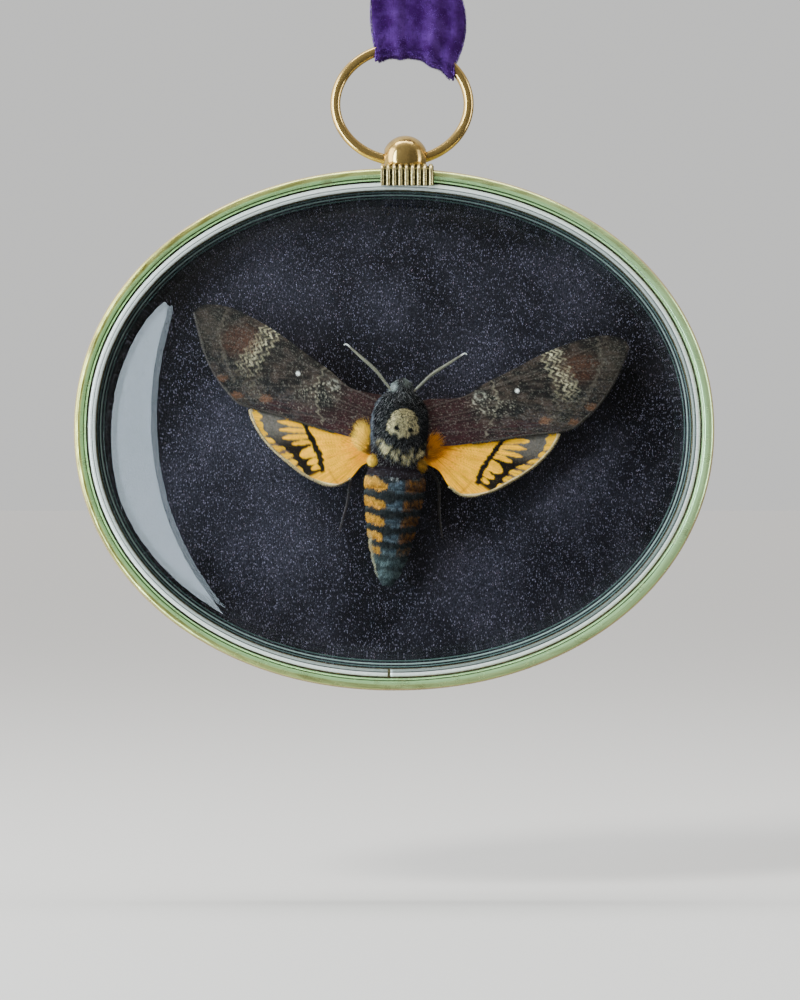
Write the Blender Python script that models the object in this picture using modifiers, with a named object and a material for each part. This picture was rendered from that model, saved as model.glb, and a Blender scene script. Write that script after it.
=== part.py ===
"""A spread hawkmoth on velvet under a convex oval glass, in a brass rim that swings on a ribbon-hung ring.

Row frame: +X to the right, -Y towards the viewer, +Z up. The origin is where a nail bears in the
ribbon's eye. The case is modelled in its own frame, at the middle of the rim: x to the right, y up and
z forward, out of the picture. The moth has a frame of its own inside the case, turned a little.
"""

import math

import bmesh
import bpy
import numpy as np
from mathutils import Matrix

MM = 0.001
GAP = 0.3 * MM  # between pieces that touch

# Case outline
RIM_WIDTH = 150.0 * MM
RIM_HEIGHT = 122.3 * MM
OVAL_POWER = 2.066  # 2 is an ellipse, and more is squarer
OVAL_SEGMENTS = 64

# Rim section: insets from the outline, and heights forward of the rim's middle
RIM_HALF_DEPTH = 8.0 * MM
BEAD_RADIUS = 1.5 * MM
WAIST_INSET = 0.5 * MM
WALL_INSET = 3.0 * MM
LEDGE_INSET = 5.2 * MM
LEDGE_FRONT = 3.6 * MM
LEDGE_BACK = -1.6 * MM
BACK_CHAMFER = 0.6 * MM

# Glass and the split ring that holds it
GLASS_THICKNESS = 1.5 * MM
FLANGE_INSET = 7.5 * MM
DOME_RISE = 14.5 * MM
DOME_RADIUS_RATIO = 1.35  # radius of the sphere that the dome is taken from, over its half width
DOME_RINGS = 7
LIP_WIDTH = 1.7 * MM
LIP_DEPTH = 1.6 * MM
LIP_SPLIT = 0.6 * MM
LIP_SPLIT_X = -1.1 * MM
LIP_ROUNDING = 0.5 * MM

# What is behind the glass
VELVET_THICKNESS = 1.4 * MM
BOARD_THICKNESS = 2.4 * MM
POINT_SIZE = (7.0 * MM, 4.5 * MM, 0.7 * MM)
POINT_TURNS = (42.0, 138.0, 222.0, 318.0)
POINT_ROUNDING = 0.9 * MM

# Ring, bead and saddle, from the rim's middle
RING_HALF_WIDTH = 15.7 * MM
RING_HALF_HEIGHT = 13.4 * MM
RING_WIRE_RADIUS = 1.15 * MM
RING_X = 1.85 * MM
RING_LOWEST_Z = 63.3 * MM
RING_SEGMENTS = 40
BEAD_BALL_RADIUS = 5.35 * MM
BEAD_X = 2.6 * MM
BEAD_Z = 63.93 * MM
BEAD_FLAT_Z = 60.3 * MM
SOCKET_RADIUS = 4.9 * MM
SOCKET_CUT = 6.0 * MM
BORE_RADIUS = 1.75 * MM
HINGE_RISE = 0.4 * MM  # of the bore's axis over the wire's lowest point
SADDLE_X = 3.1 * MM
SADDLE_RIBS = 8
SADDLE_PITCH = 1.43 * MM
SADDLE_BORDER = 0.5 * MM
SADDLE_THICKNESS = 0.45 * MM
SADDLE_RIB_HEIGHT = 0.25 * MM
SADDLE_SKIRT_Z = 56.8 * MM
SADDLE_RETURN = 3.0 * MM  # how far in front of the ring its top ends
CASE_SETBACK = 2.05 * MM  # of the rim's middle behind the ring, so that the case hangs upright

# Ribbon, from the rim's middle
RIBBON_THICKNESS = 1.0 * MM
RIBBON_FOLD_X = (-4.1 * MM, 13.8 * MM)
RIBBON_MIDDLE_X = (-5.2 * MM, 16.3 * MM)
RIBBON_TOP_HALF_WIDTH = 5.2 * MM
RIBBON_TOP_Z = 113.0 * MM
STRAND_TOP_OFFSET = 0.7 * MM
EYE_X = 3.0 * MM
EYE_Z = 117.0 * MM
EYE_RADIUS = 3.5 * MM
EYE_TAB_RADIUS = 6.8 * MM
EYE_TAB_THICKNESS = 2.5 * MM
EYE_TAB_DROP = 7.0 * MM
EYE_TAB_MARGIN = 0.4 * MM
RIBBON_COLUMNS = 9
RIBBON_ROWS = 21
RIBBON_BEND_SHARE = 0.3  # of each half of the ribbon, that goes round the wire

# Moth: its frame in the case, and its layers
MOTH_X = 2.3 * MM
MOTH_Y = 0.33 * MM
MOTH_TURN = math.radians(-4.5)
BODY_X = -1.1 * MM
BODY_CLEARANCE = 0.36 * MM  # between the body and the roots of the wings
BODY_FLATTENING = 0.85
BODY_LIFT = 4.5 * MM
FOREWING_LIFT = 5.2 * MM
HINDWING_LIFT = 4.2 * MM
WING_THICKNESS = 0.5 * MM
LEG_RADIUS = 0.35 * MM

# Half width of the head and thorax along the body, from the nose down
FRONT_PROFILE = ((11.8, 0.0), (11.5, 1.3), (10.6, 2.3), (9.4, 2.9), (8.4, 3.4), (7.6, 4.4), (6.2, 5.5),
                 (4.2, 6.3), (2.0, 6.6), (-1.0, 6.7), (-4.5, 6.4), (-7.0, 5.7), (-8.4, 5.6))
# Ends of the abdomen's segments along the body, and the half width in the middle of each
SEGMENT_ENDS = (-9.0, -14.4, -18.4, -22.3, -25.9, -29.2, -32.3, -35.2)
SEGMENT_HALF_WIDTHS = (7.25, 7.0, 6.4, 5.7, 5.0, 4.1, 3.0)
SEGMENT_GROOVE = 0.25
BODY_STEPS = 18
ABDOMEN_TIP = -36.9

# Outlines of the right wings, in millimetres from the moth's middle; the last points lie inside the body
FOREWING = ((9.6, 7.7), (13.5, 8.6), (18.2, 12.0), (23.7, 15.3), (29.9, 19.2), (36.7, 22.7), (43.7, 25.1),
            (49.0, 25.0), (51.0, 23.2), (49.6, 18.9), (48.2, 14.9), (45.5, 9.8), (42.5, 6.1), (38.2, 2.6),
            (28.8, 0.6), (22.2, -1.0), (16.1, -2.3), (11.5, -3.2), (6.0, -3.6), (2.0, -2.5), (2.0, 4.5),
            (4.4, 7.0))
HINDWING = ((12.0, 0.2), (18.0, 2.6), (26.0, 4.4), (33.0, 4.2), (36.4, 1.6), (35.4, -0.9), (32.9, -4.5),
            (29.5, -7.8), (23.7, -11.9), (20.2, -13.6), (17.1, -14.6), (14.4, -14.4), (11.5, -12.6),
            (9.0, -9.4), (6.0, -8.0), (2.0, -6.5), (2.0, -3.0), (6.0, -1.6))

# Centre lines of the right legs and antenna: (x, y, height over the case's middle, thickness share)
LEGS = (((3.0, 5.0, 1.5, 1.5), (7.2, 6.0, 1.0, 1.2), (9.6, 4.0, -0.4, 0.9), (9.0, 1.2, -1.0, 0.7)),
        ((3.5, -1.0, 1.5, 1.5), (9.5, -1.5, 1.6, 1.2), (12.0, -6.5, 0.0, 0.9), (11.5, -11.5, -1.0, 0.7)),
        ((4.0, -6.0, 1.5, 1.6), (9.8, -11.5, 1.4, 1.2), (10.9, -18.7, -0.2, 0.9), (12.1, -25.0, -1.0, 0.7)))
ANTENNA = ((2.2, 8.2, 5.2, 1.2), (4.2, 10.4, 5.6, 1.2), (6.6, 13.0, 6.0, 1.4), (10.0, 15.6, 6.1, 1.4),
           (12.6, 17.6, 6.0, 1.1), (13.8, 18.5, 5.8, 0.8), (14.5, 18.3, 5.5, 0.5))

# Heights forward of the rim's middle that follow from the above
VELVET_FRONT = LEDGE_BACK - GAP
BOARD_FRONT = VELVET_FRONT - VELVET_THICKNESS - GAP
POINT_FRONT = BOARD_FRONT - BOARD_THICKNESS - GAP
FLANGE_FRONT = LEDGE_FRONT + GAP + GLASS_THICKNESS
LIP_BACK = FLANGE_FRONT + GAP
SEAT_INSET = WALL_INSET + GAP
HINGE_Z = RING_LOWEST_Z + HINGE_RISE
ORIGIN_X = EYE_X
ORIGIN_Z = EYE_Z + EYE_RADIUS


def clear_scene():
    for item in list(bpy.data.objects):
        bpy.data.objects.remove(item)


def collection(name):
    made = bpy.data.collections.new(name)
    bpy.context.scene.collection.children.link(made)
    return made


def material(name, color, roughness, metallic=0.0, transmission=0.0):
    made = bpy.data.materials.new(name)
    made.use_nodes = True
    shader = made.node_tree.nodes["Principled BSDF"]
    shader.inputs["Base Color"].default_value = (*color, 1.0)
    shader.inputs["Roughness"].default_value = roughness
    shader.inputs["Metallic"].default_value = metallic
    shader.inputs["Transmission Weight"].default_value = transmission
    made.diffuse_color = (*color, 1.0)
    return made


def place(data, name, group, parent, finish=None):
    """An object of this mesh or curve, in its collection and under its parent."""
    item = bpy.data.objects.new(name, data)
    group.objects.link(item)
    item.parent = parent
    if finish:
        data.materials.append(finish)
    return item


def empty(name, group, parent, location, rotation=(0.0, 0.0, 0.0)):
    item = bpy.data.objects.new(name, None)
    group.objects.link(item)
    item.parent = parent
    item.location = location
    item.rotation_euler = rotation
    return item


def helper(item):
    item.hide_render = True
    item.display_type = "WIRE"
    return item


def smooth(item, angle=40.0):
    item.data.shade_smooth()
    item.data.set_sharp_from_angle(angle=math.radians(angle))


def poly_curve(name, points, closed, flat, radii=None):
    """A curve of straight steps through the points."""
    curve = bpy.data.curves.new(name, "CURVE")
    curve.dimensions = "2D" if flat else "3D"
    spline = curve.splines.new("POLY")
    spline.points.add(len(points) - 1)
    for index, point in enumerate(points):
        height = 0.0 if flat else point[2]
        spline.points[index].co = (point[0], point[1], height, 1.0)
        if radii:
            spline.points[index].radius = radii[index]
    spline.use_cyclic_u = closed
    return curve


def outline_curve(name, outlines, half_thickness, steps=4):
    """A flat plate: each outline is a smooth closed line, and the second one is a hole in the first."""
    curve = bpy.data.curves.new(name, "CURVE")
    curve.dimensions = "2D"
    curve.fill_mode = "BOTH"
    curve.extrude = half_thickness
    curve.resolution_u = steps
    for outline in outlines:
        spline = curve.splines.new("BEZIER")
        spline.bezier_points.add(len(outline) - 1)
        for bezier, (x, y) in zip(spline.bezier_points, outline):
            bezier.co = (x, y, 0.0)
            bezier.handle_left_type = bezier.handle_right_type = "AUTO"
        spline.use_cyclic_u = True
    return curve


def as_mesh(item):
    """The same piece as a mesh object with its caps welded, so that a Boolean can cut it."""
    bpy.context.view_layer.update()
    graph = bpy.context.evaluated_depsgraph_get()
    mesh = bpy.data.meshes.new_from_object(item.evaluated_get(graph))
    work = bmesh.new()
    work.from_mesh(mesh)
    bmesh.ops.remove_doubles(work, verts=work.verts, dist=1e-6)
    bmesh.ops.recalc_face_normals(work, faces=work.faces)
    work.to_mesh(mesh)
    work.free()
    name, group, parent, matrix = item.name, item.users_collection[0], item.parent, item.matrix_basis.copy()
    bpy.data.objects.remove(item)
    made = bpy.data.objects.new(name, mesh)
    group.objects.link(made)
    made.parent = parent
    made.matrix_basis = matrix
    return made


def boolean(item, other, operation):
    modifier = item.modifiers.new(operation.title(), "BOOLEAN")
    modifier.operation = operation
    modifier.object = helper(other)


def oval(inset, count=OVAL_SEGMENTS, start=0.0, turn=2 * math.pi):
    """Points of the case's outline, each moved inwards along its normal by the inset."""
    angle = start + turn * np.arange(count) / (count if turn == 2 * math.pi else count - 1)
    half = np.array([RIM_WIDTH / 2, RIM_HEIGHT / 2])
    way = np.stack([np.cos(angle), np.sin(angle)], axis=1)
    points = half * np.sign(way) * np.abs(way) ** (2 / OVAL_POWER)
    normals = np.sign(points) * np.abs(points / half) ** (OVAL_POWER - 1) / half
    normals /= np.linalg.norm(normals, axis=1, keepdims=True)
    return points - inset * normals


def arc(centre, radius, start, end, count):
    """Points of an arc between two angles in degrees."""
    angles = np.radians(np.linspace(start, end, count))
    return [(centre[0] + radius * math.cos(a), centre[1] + radius * math.sin(a)) for a in angles]


def swept(name, path, profile, group, parent, finish, closed=True):
    """The profile (left of the path, and above it) carried along a flat path."""
    if not closed:
        profile = [(-left, above) for left, above in reversed(profile)]  # an open path turns its section round
    section = poly_curve(name + "_section", profile, closed=True, flat=True)
    guide = helper(place(section, name + "_section", group, None))
    curve = poly_curve(name, path, closed=closed, flat=True)
    curve.bevel_mode = "OBJECT"
    curve.bevel_object = guide
    curve.use_fill_caps = not closed
    return place(curve, name, group, parent, finish)


def plate(name, inset, front, thickness, group, parent, finish):
    """An oval board, by the inset of its edge and the height of its front."""
    curve = poly_curve(name, oval(inset), closed=True, flat=True)
    curve.fill_mode = "BOTH"
    curve.extrude = thickness / 2
    item = place(curve, name, group, parent, finish)
    item.location.z = front - thickness / 2
    return item


def make_rim(group, cutters, case, finish):
    bead_middle = RIM_HALF_DEPTH - BEAD_RADIUS
    profile = [(WAIST_INSET + BACK_CHAMFER, -RIM_HALF_DEPTH), (WAIST_INSET, BACK_CHAMFER - RIM_HALF_DEPTH),
               (WAIST_INSET, bead_middle - BEAD_RADIUS)]
    profile += arc((BEAD_RADIUS, bead_middle), BEAD_RADIUS, 200, 0, 8)
    profile += [(WALL_INSET, LEDGE_FRONT), (LEDGE_INSET, LEDGE_FRONT), (LEDGE_INSET, LEDGE_BACK),
                (WALL_INSET, LEDGE_BACK), (WALL_INSET, -RIM_HALF_DEPTH)]
    rim = as_mesh(swept("rim", oval(0.0), profile, group, case, finish))
    smooth(rim)
    bpy.ops.mesh.primitive_cylinder_add(vertices=32, radius=SOCKET_RADIUS, depth=SOCKET_CUT)
    socket = bpy.context.object
    socket.name = "bead_socket"
    socket.parent = case
    socket.location = (BEAD_X, BEAD_FLAT_Z - GAP + SOCKET_CUT / 2, CASE_SETBACK)
    socket.rotation_euler.x = math.radians(90)
    move_to(socket, cutters)
    boolean(rim, socket, "DIFFERENCE")
    return rim


def move_to(item, group):
    for owner in item.users_collection:
        owner.objects.unlink(item)
    group.objects.link(item)


def make_retaining_ring(group, case, finish):
    """A split brass ring with a rounded front, which lies on the glass inside the rim."""
    split = LIP_SPLIT / RIM_WIDTH
    start = math.asin(LIP_SPLIT_X / (RIM_WIDTH / 2)) - math.pi / 2
    path = oval(SEAT_INSET, OVAL_SEGMENTS + 1, start + split, 2 * math.pi - 2 * split)
    front = LIP_BACK + LIP_DEPTH
    profile = [(0.0, LIP_BACK), (0.0, front - LIP_ROUNDING), (LIP_ROUNDING, front),
               (LIP_WIDTH - LIP_ROUNDING, front), (LIP_WIDTH, front - LIP_ROUNDING), (LIP_WIDTH, LIP_BACK)]
    return swept("glass_retaining_ring", path, profile, group, case, finish, closed=False)


def dome_height(share):
    """Rise of the dome at a share of its half width: a cap of a sphere, 1 in the middle and 0 at the edge."""
    low = math.sqrt(DOME_RADIUS_RATIO**2 - 1)
    return (math.sqrt(DOME_RADIUS_RATIO**2 - share**2) - low) / (DOME_RADIUS_RATIO - low)


def make_glass(group, case, finish):
    """Rings of one outline, from the flat flange's edge up to the middle of the dome, then a thickness."""
    edge = oval(FLANGE_INSET)
    rings = [(oval(SEAT_INSET), FLANGE_FRONT), (edge, FLANGE_FRONT)]
    for step in range(1, DOME_RINGS):
        share = math.cos(step / DOME_RINGS * math.pi / 2)
        rings.append((edge * share, FLANGE_FRONT + DOME_RISE * dome_height(share)))
    work = bmesh.new()
    rows = [[work.verts.new((x, y, z)) for x, y in ring] for ring, z in rings]
    for outer, inner in zip(rows, rows[1:]):
        for i in range(OVAL_SEGMENTS):
            j = (i + 1) % OVAL_SEGMENTS
            work.faces.new((outer[i], outer[j], inner[j], inner[i]))
    top = work.verts.new((0.0, 0.0, FLANGE_FRONT + DOME_RISE))
    for i in range(OVAL_SEGMENTS):
        work.faces.new((rows[-1][i], rows[-1][(i + 1) % OVAL_SEGMENTS], top))
    mesh = bpy.data.meshes.new("glass_dome")
    work.to_mesh(mesh)
    work.free()
    glass = place(mesh, "glass_dome", group, case, finish)
    shell = glass.modifiers.new("Thickness", "SOLIDIFY")
    shell.thickness = GLASS_THICKNESS
    shell.use_even_offset = True
    smooth(glass, 30.0)
    return glass


def make_back_points(group, case, finish):
    """Brass points pushed in from the rim's wall, which hold the boards from behind."""
    length, reach, thickness = POINT_SIZE
    for number, turn in enumerate(POINT_TURNS, start=1):
        (outer,) = oval(SEAT_INSET, 1, math.radians(turn))
        (inner,) = oval(SEAT_INSET + reach, 1, math.radians(turn))
        bpy.ops.mesh.primitive_cube_add(size=1.0)
        point = bpy.context.object
        point.name = f"back_point_{number}"
        point.data.transform(Matrix.Diagonal((reach, length, thickness, 1.0)))
        point.data.materials.append(finish)
        move_to(point, group)
        point.parent = case
        point.location = (*((outer + inner) / 2), POINT_FRONT - thickness / 2)
        point.rotation_euler.z = math.atan2(*(outer - inner)[::-1])
        edges = point.modifiers.new("Rounding", "BEVEL")
        edges.width = POINT_ROUNDING
        edges.segments = 2
        edges.limit_method = "WEIGHT"
        weights = point.data.attributes.new("bevel_weight_edge", "FLOAT", "EDGE")
        for edge in point.data.edges:
            a, b = (point.data.vertices[i].co for i in edge.vertices)
            if abs(a.z - b.z) > thickness / 2 and a.x < 0:
                weights.data[edge.index].value = 1.0


def make_bead(group, cutters, case, finish):
    """A ball bored through for the ring, with a flat that sits in the rim's socket."""
    bpy.ops.mesh.primitive_uv_sphere_add(segments=28, ring_count=16, radius=BEAD_BALL_RADIUS)
    bead = bpy.context.object
    bead.name = "ring_bead"
    bead.data.materials.append(finish)
    bead.data.shade_smooth()
    move_to(bead, group)
    bead.parent = case
    bead.location = (BEAD_X, BEAD_Z, CASE_SETBACK)
    bpy.ops.mesh.primitive_cylinder_add(vertices=24, radius=BORE_RADIUS, depth=4 * BEAD_BALL_RADIUS)
    bore = bpy.context.object
    bore.name = "bead_bore"
    bore.parent = case
    bore.location = (BEAD_X, HINGE_Z, CASE_SETBACK)
    bore.rotation_euler.y = math.radians(90)
    move_to(bore, cutters)
    boolean(bead, bore, "DIFFERENCE")
    bpy.ops.mesh.primitive_cube_add(size=4 * BEAD_BALL_RADIUS)
    under = bpy.context.object
    under.name = "bead_flat"
    under.parent = case
    under.location = (BEAD_X, BEAD_FLAT_Z - 2 * BEAD_BALL_RADIUS, CASE_SETBACK)
    move_to(under, cutters)
    boolean(bead, under, "DIFFERENCE")


def make_saddle(group, cutters, case, finish):
    """A ribbed strap bent over the rim's front bead, and hollowed on top for the ball."""
    middle = (RIM_HALF_DEPTH - BEAD_RADIUS, RIM_HEIGHT / 2 - BEAD_RADIUS)
    bend = BEAD_RADIUS + GAP
    path = [(CASE_SETBACK + SADDLE_RETURN, middle[1] + bend)]
    path += arc(middle, bend, 90, 0, 6)
    path += [(middle[0] + bend, SADDLE_SKIRT_Z)]
    half = SADDLE_RIBS * SADDLE_PITCH / 2
    profile = [(0.0, -half - SADDLE_BORDER), (0.0, half + SADDLE_BORDER),
               (SADDLE_THICKNESS, half + SADDLE_BORDER)]
    for rib in range(SADDLE_RIBS):
        side = half - rib * SADDLE_PITCH
        profile.append((SADDLE_THICKNESS, side))
        profile += [(SADDLE_THICKNESS + SADDLE_RIB_HEIGHT, side - share * SADDLE_PITCH) for share in (0.3, 0.7)]
    profile += [(SADDLE_THICKNESS, -half), (SADDLE_THICKNESS, -half - SADDLE_BORDER)]
    saddle = swept("ribbed_saddle", path, profile, group, case, finish, closed=False)
    saddle.location.x = SADDLE_X
    saddle.rotation_euler.y = math.radians(-90)
    saddle = as_mesh(saddle)
    bpy.ops.mesh.primitive_uv_sphere_add(segments=28, ring_count=16, radius=BEAD_BALL_RADIUS + 1.2 * GAP)
    hollow = bpy.context.object
    hollow.name = "saddle_hollow"
    hollow.parent = case
    hollow.location = (BEAD_X, BEAD_Z, CASE_SETBACK)
    move_to(hollow, cutters)
    boolean(saddle, hollow, "DIFFERENCE")


def make_ring(group, hanger, finish):
    turns = np.arange(RING_SEGMENTS) / RING_SEGMENTS * 2 * math.pi
    points = [(RING_HALF_WIDTH * math.cos(t), RING_HALF_HEIGHT * math.sin(t), 0.0) for t in turns]
    curve = poly_curve("hanging_ring", points, closed=True, flat=False)
    curve.bevel_depth = RING_WIRE_RADIUS
    curve.bevel_resolution = 2
    ring = place(curve, "hanging_ring", group, hanger, finish)
    ring.location = (RING_X, 0.0, RING_LOWEST_Z + RING_HALF_HEIGHT)
    ring.rotation_euler.x = math.radians(90)


def ribbon_point(across, along):
    """A point of the ribbon's middle surface: across from 0 to 1, and along from the front's top to the back's."""
    fold_x = RIBBON_FOLD_X[0] + across * (RIBBON_FOLD_X[1] - RIBBON_FOLD_X[0])
    ratio = (fold_x - RING_X) / RING_HALF_WIDTH
    fall = math.sqrt(1 - ratio**2)
    slope = RING_HALF_HEIGHT * ratio / RING_HALF_WIDTH / fall
    wire_z = RING_LOWEST_Z + RING_HALF_HEIGHT * (1 + fall)
    wrap = RING_WIRE_RADIUS + GAP + RIBBON_THICKNESS / 2
    side = -1 if along < 0.5 else 1
    rise = abs(2 * along - 1)
    if rise < RIBBON_BEND_SHARE:
        angle = rise / RIBBON_BEND_SHARE * math.pi / 2
        drop = wrap * math.cos(angle) * math.sqrt(1 + slope**2)
        return fold_x, side * wrap * math.sin(angle), wire_z - drop
    share = (rise - RIBBON_BEND_SHARE) / (1 - RIBBON_BEND_SHARE)
    middle_x = RIBBON_MIDDLE_X[0] + across * (RIBBON_MIDDLE_X[1] - RIBBON_MIDDLE_X[0])
    top_x = EYE_X + (2 * across - 1) * RIBBON_TOP_HALF_WIDTH
    pull_x = 2 * middle_x - (fold_x + top_x) / 2
    x = (1 - share) ** 2 * fold_x + 2 * share * (1 - share) * pull_x + share**2 * top_x
    y = side * (wrap + share * (STRAND_TOP_OFFSET - wrap))
    return x, y, wire_z + share * (RIBBON_TOP_Z - wire_z)


def make_ribbon(group, cutters, hanger, finish):
    """A band that goes under the ring's top and up on both sides, and the sewn tab with its eye."""
    across = [i / (RIBBON_COLUMNS - 1) for i in range(RIBBON_COLUMNS)]
    along = [j / (RIBBON_ROWS - 1) for j in range(RIBBON_ROWS)]
    work = bmesh.new()
    grid = [[work.verts.new(ribbon_point(u, v)) for u in across] for v in along]
    for lower, upper in zip(grid, grid[1:]):
        for i in range(RIBBON_COLUMNS - 1):
            work.faces.new((lower[i], upper[i], upper[i + 1], lower[i + 1]))
    mesh = bpy.data.meshes.new("hanging_ribbon")
    work.to_mesh(mesh)
    work.free()
    ribbon = place(mesh, "hanging_ribbon", group, hanger, finish)
    cloth = ribbon.modifiers.new("Thickness", "SOLIDIFY")
    cloth.thickness = RIBBON_THICKNESS
    cloth.offset = 0.0
    width = RIBBON_TOP_HALF_WIDTH + EYE_TAB_MARGIN
    outer = arc((0.0, 0.0), EYE_TAB_RADIUS, -20, 200, 9)
    outer += [(-width, -EYE_TAB_DROP), (width, -EYE_TAB_DROP)]
    curve = outline_curve("eye_tab", [outer, arc((0.0, 0.0), EYE_RADIUS, 0, 315, 8)], EYE_TAB_THICKNESS / 2)
    tab = place(curve, "eye_tab", cutters, hanger)
    tab.location = (EYE_X, 0.0, EYE_Z)
    tab.rotation_euler.x = math.radians(90)
    boolean(ribbon, as_mesh(tab), "UNION")


def body_profile(clearance=0.0):
    """(height along the body, half width) from the nose to the tip, in metres."""
    points = list(FRONT_PROFILE)
    pairs = list(zip(SEGMENT_ENDS, SEGMENT_ENDS[1:]))
    for (start, end), half_width in zip(pairs, SEGMENT_HALF_WIDTHS):
        for share in (0.15, 0.5, 0.85):
            points.append((start + share * (end - start), half_width - 0.3 * (share - 0.5)))
        following = SEGMENT_HALF_WIDTHS[min(pairs.index((start, end)) + 1, len(pairs) - 1)]
        points.append((end, (half_width + following) / 2 - SEGMENT_GROOVE))
    points.append((ABDOMEN_TIP + 0.5, 1.3))
    points.append((ABDOMEN_TIP, 0.0))
    return [(y * MM, width * MM + (clearance if width else 0.0)) for y, width in points]


def limb(name, line, side, moth, cutters):
    """A tapered tube through the points of one leg or antenna."""
    points = [(side * x * MM + BODY_X, y * MM, z * MM) for x, y, z, _ in line]
    curve = poly_curve(name, points, closed=False, flat=False, radii=[point[3] for point in line])
    curve.bevel_depth = LEG_RADIUS
    curve.bevel_resolution = 1
    curve.use_fill_caps = True
    return as_mesh(place(curve, name, cutters, moth))


def turned_body(name, clearance, group, moth, finish=None):
    """The head, thorax and abdomen: their profile turned about the body's length, then flattened."""
    profile = body_profile(clearance)
    mesh = bpy.data.meshes.new(name)
    mesh.from_pydata([(width, 0.0, y) for y, width in profile], [(i, i + 1) for i in range(len(profile) - 1)], [])
    body = place(mesh, name, group, moth, finish)
    body.location = (BODY_X, 0.0, BODY_LIFT)
    body.rotation_euler.x = math.radians(-90)
    body.scale.y = BODY_FLATTENING
    turned = body.modifiers.new("Turned", "SCREW")
    turned.steps = turned.render_steps = BODY_STEPS
    turned.use_merge_vertices = True
    turned.merge_threshold = 1e-5
    return body


def make_moth_body(group, cutters, moth, finish):
    """The turned body, with legs and antennae grown from it."""
    body = turned_body("moth_body", 0.0, group, moth, finish)
    for side, label in ((1, "right"), (-1, "left")):
        for number, line in enumerate(LEGS, start=1):
            boolean(body, limb(f"leg_{label}_{number}", line, side, moth, cutters), "UNION")
        boolean(body, limb(f"antenna_{label}", ANTENNA, side, moth, cutters), "UNION")


def make_wing(name, outline, side, lift, group, moth, body_room, finish):
    """A plate of the wing's outline, cut back at its root to leave room for the body."""
    points = [(side * x * MM, y * MM) for x, y in outline]
    wing = place(outline_curve(name, [points], WING_THICKNESS / 2, steps=3), name, group, moth, finish)
    wing.location.z = lift
    boolean(as_mesh(wing), body_room, "DIFFERENCE")


def main():
    clear_scene()
    group = collection("framed_moth")
    cutters = collection("cutters")
    brass = material("aged_brass", (0.66, 0.58, 0.36), 0.3, metallic=1.0)
    dark_brass = material("brown_brass", (0.46, 0.33, 0.16), 0.35, metallic=1.0)
    ribbon_velvet = material("violet_velvet", (0.10, 0.05, 0.30), 0.9)
    case_velvet = material("blue_black_velvet", (0.02, 0.022, 0.035), 0.95)
    board = material("brown_board", (0.33, 0.24, 0.15), 0.85)
    glass = material("clear_glass", (0.95, 0.98, 0.97), 0.02, transmission=1.0)
    fur = material("moth_fur", (0.07, 0.07, 0.10), 0.9)
    forewing = material("moth_forewing", (0.10, 0.08, 0.06), 0.85)
    hindwing = material("moth_hindwing", (0.78, 0.42, 0.10), 0.85)

    hanger = empty("hanger", group, None, (-ORIGIN_X, 0.0, -ORIGIN_Z))
    make_ribbon(group, cutters, hanger, ribbon_velvet)
    make_ring(group, hanger, dark_brass)

    pivot = empty("case_pivot", group, None, (0.0, 0.0, HINGE_Z - ORIGIN_Z))
    case = empty("case", group, pivot, (-ORIGIN_X, CASE_SETBACK, -HINGE_Z), (math.radians(90), 0.0, 0.0))
    make_rim(group, cutters, case, brass)
    make_retaining_ring(group, case, brass)
    make_glass(group, case, glass)
    make_bead(group, cutters, case, dark_brass)
    make_saddle(group, cutters, case, brass)
    plate("velvet_backing", SEAT_INSET, VELVET_FRONT, VELVET_THICKNESS, group, case, case_velvet)
    plate("back_board", SEAT_INSET, BOARD_FRONT, BOARD_THICKNESS, group, case, board)
    make_back_points(group, case, brass)

    moth = empty("moth", group, case, (MOTH_X, MOTH_Y, 0.0), (0.0, 0.0, MOTH_TURN))
    make_moth_body(group, cutters, moth, fur)
    body_room = as_mesh(turned_body("body_room", BODY_CLEARANCE, cutters, moth))
    for side, label in ((1, "right"), (-1, "left")):
        make_wing(f"moth_forewing_{label}", FOREWING, side, FOREWING_LIFT, group, moth, body_room, forewing)
        make_wing(f"moth_hindwing_{label}", HINDWING, side, HINDWING_LIFT, group, moth, body_room, hindwing)


main()
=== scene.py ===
"""A spread hawkmoth on velvet under a domed oval glass, in a brass rim that swings on a ribbon-hung ring.

The file is laid out as an add-on: settings, one operator for each piece or group of like pieces, and a
panel that lists them. The row frame has +X to the right, -Y towards the viewer and +Z up. The case has
its own frame at the middle of the rim (x to the right, y up, z forward, out of the picture), and the moth
has one inside the case, turned a little. Lengths are metres in the row and case frames, and millimetres
in the moth's frame, where its outlines and markings are drawn.
"""

import math

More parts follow.
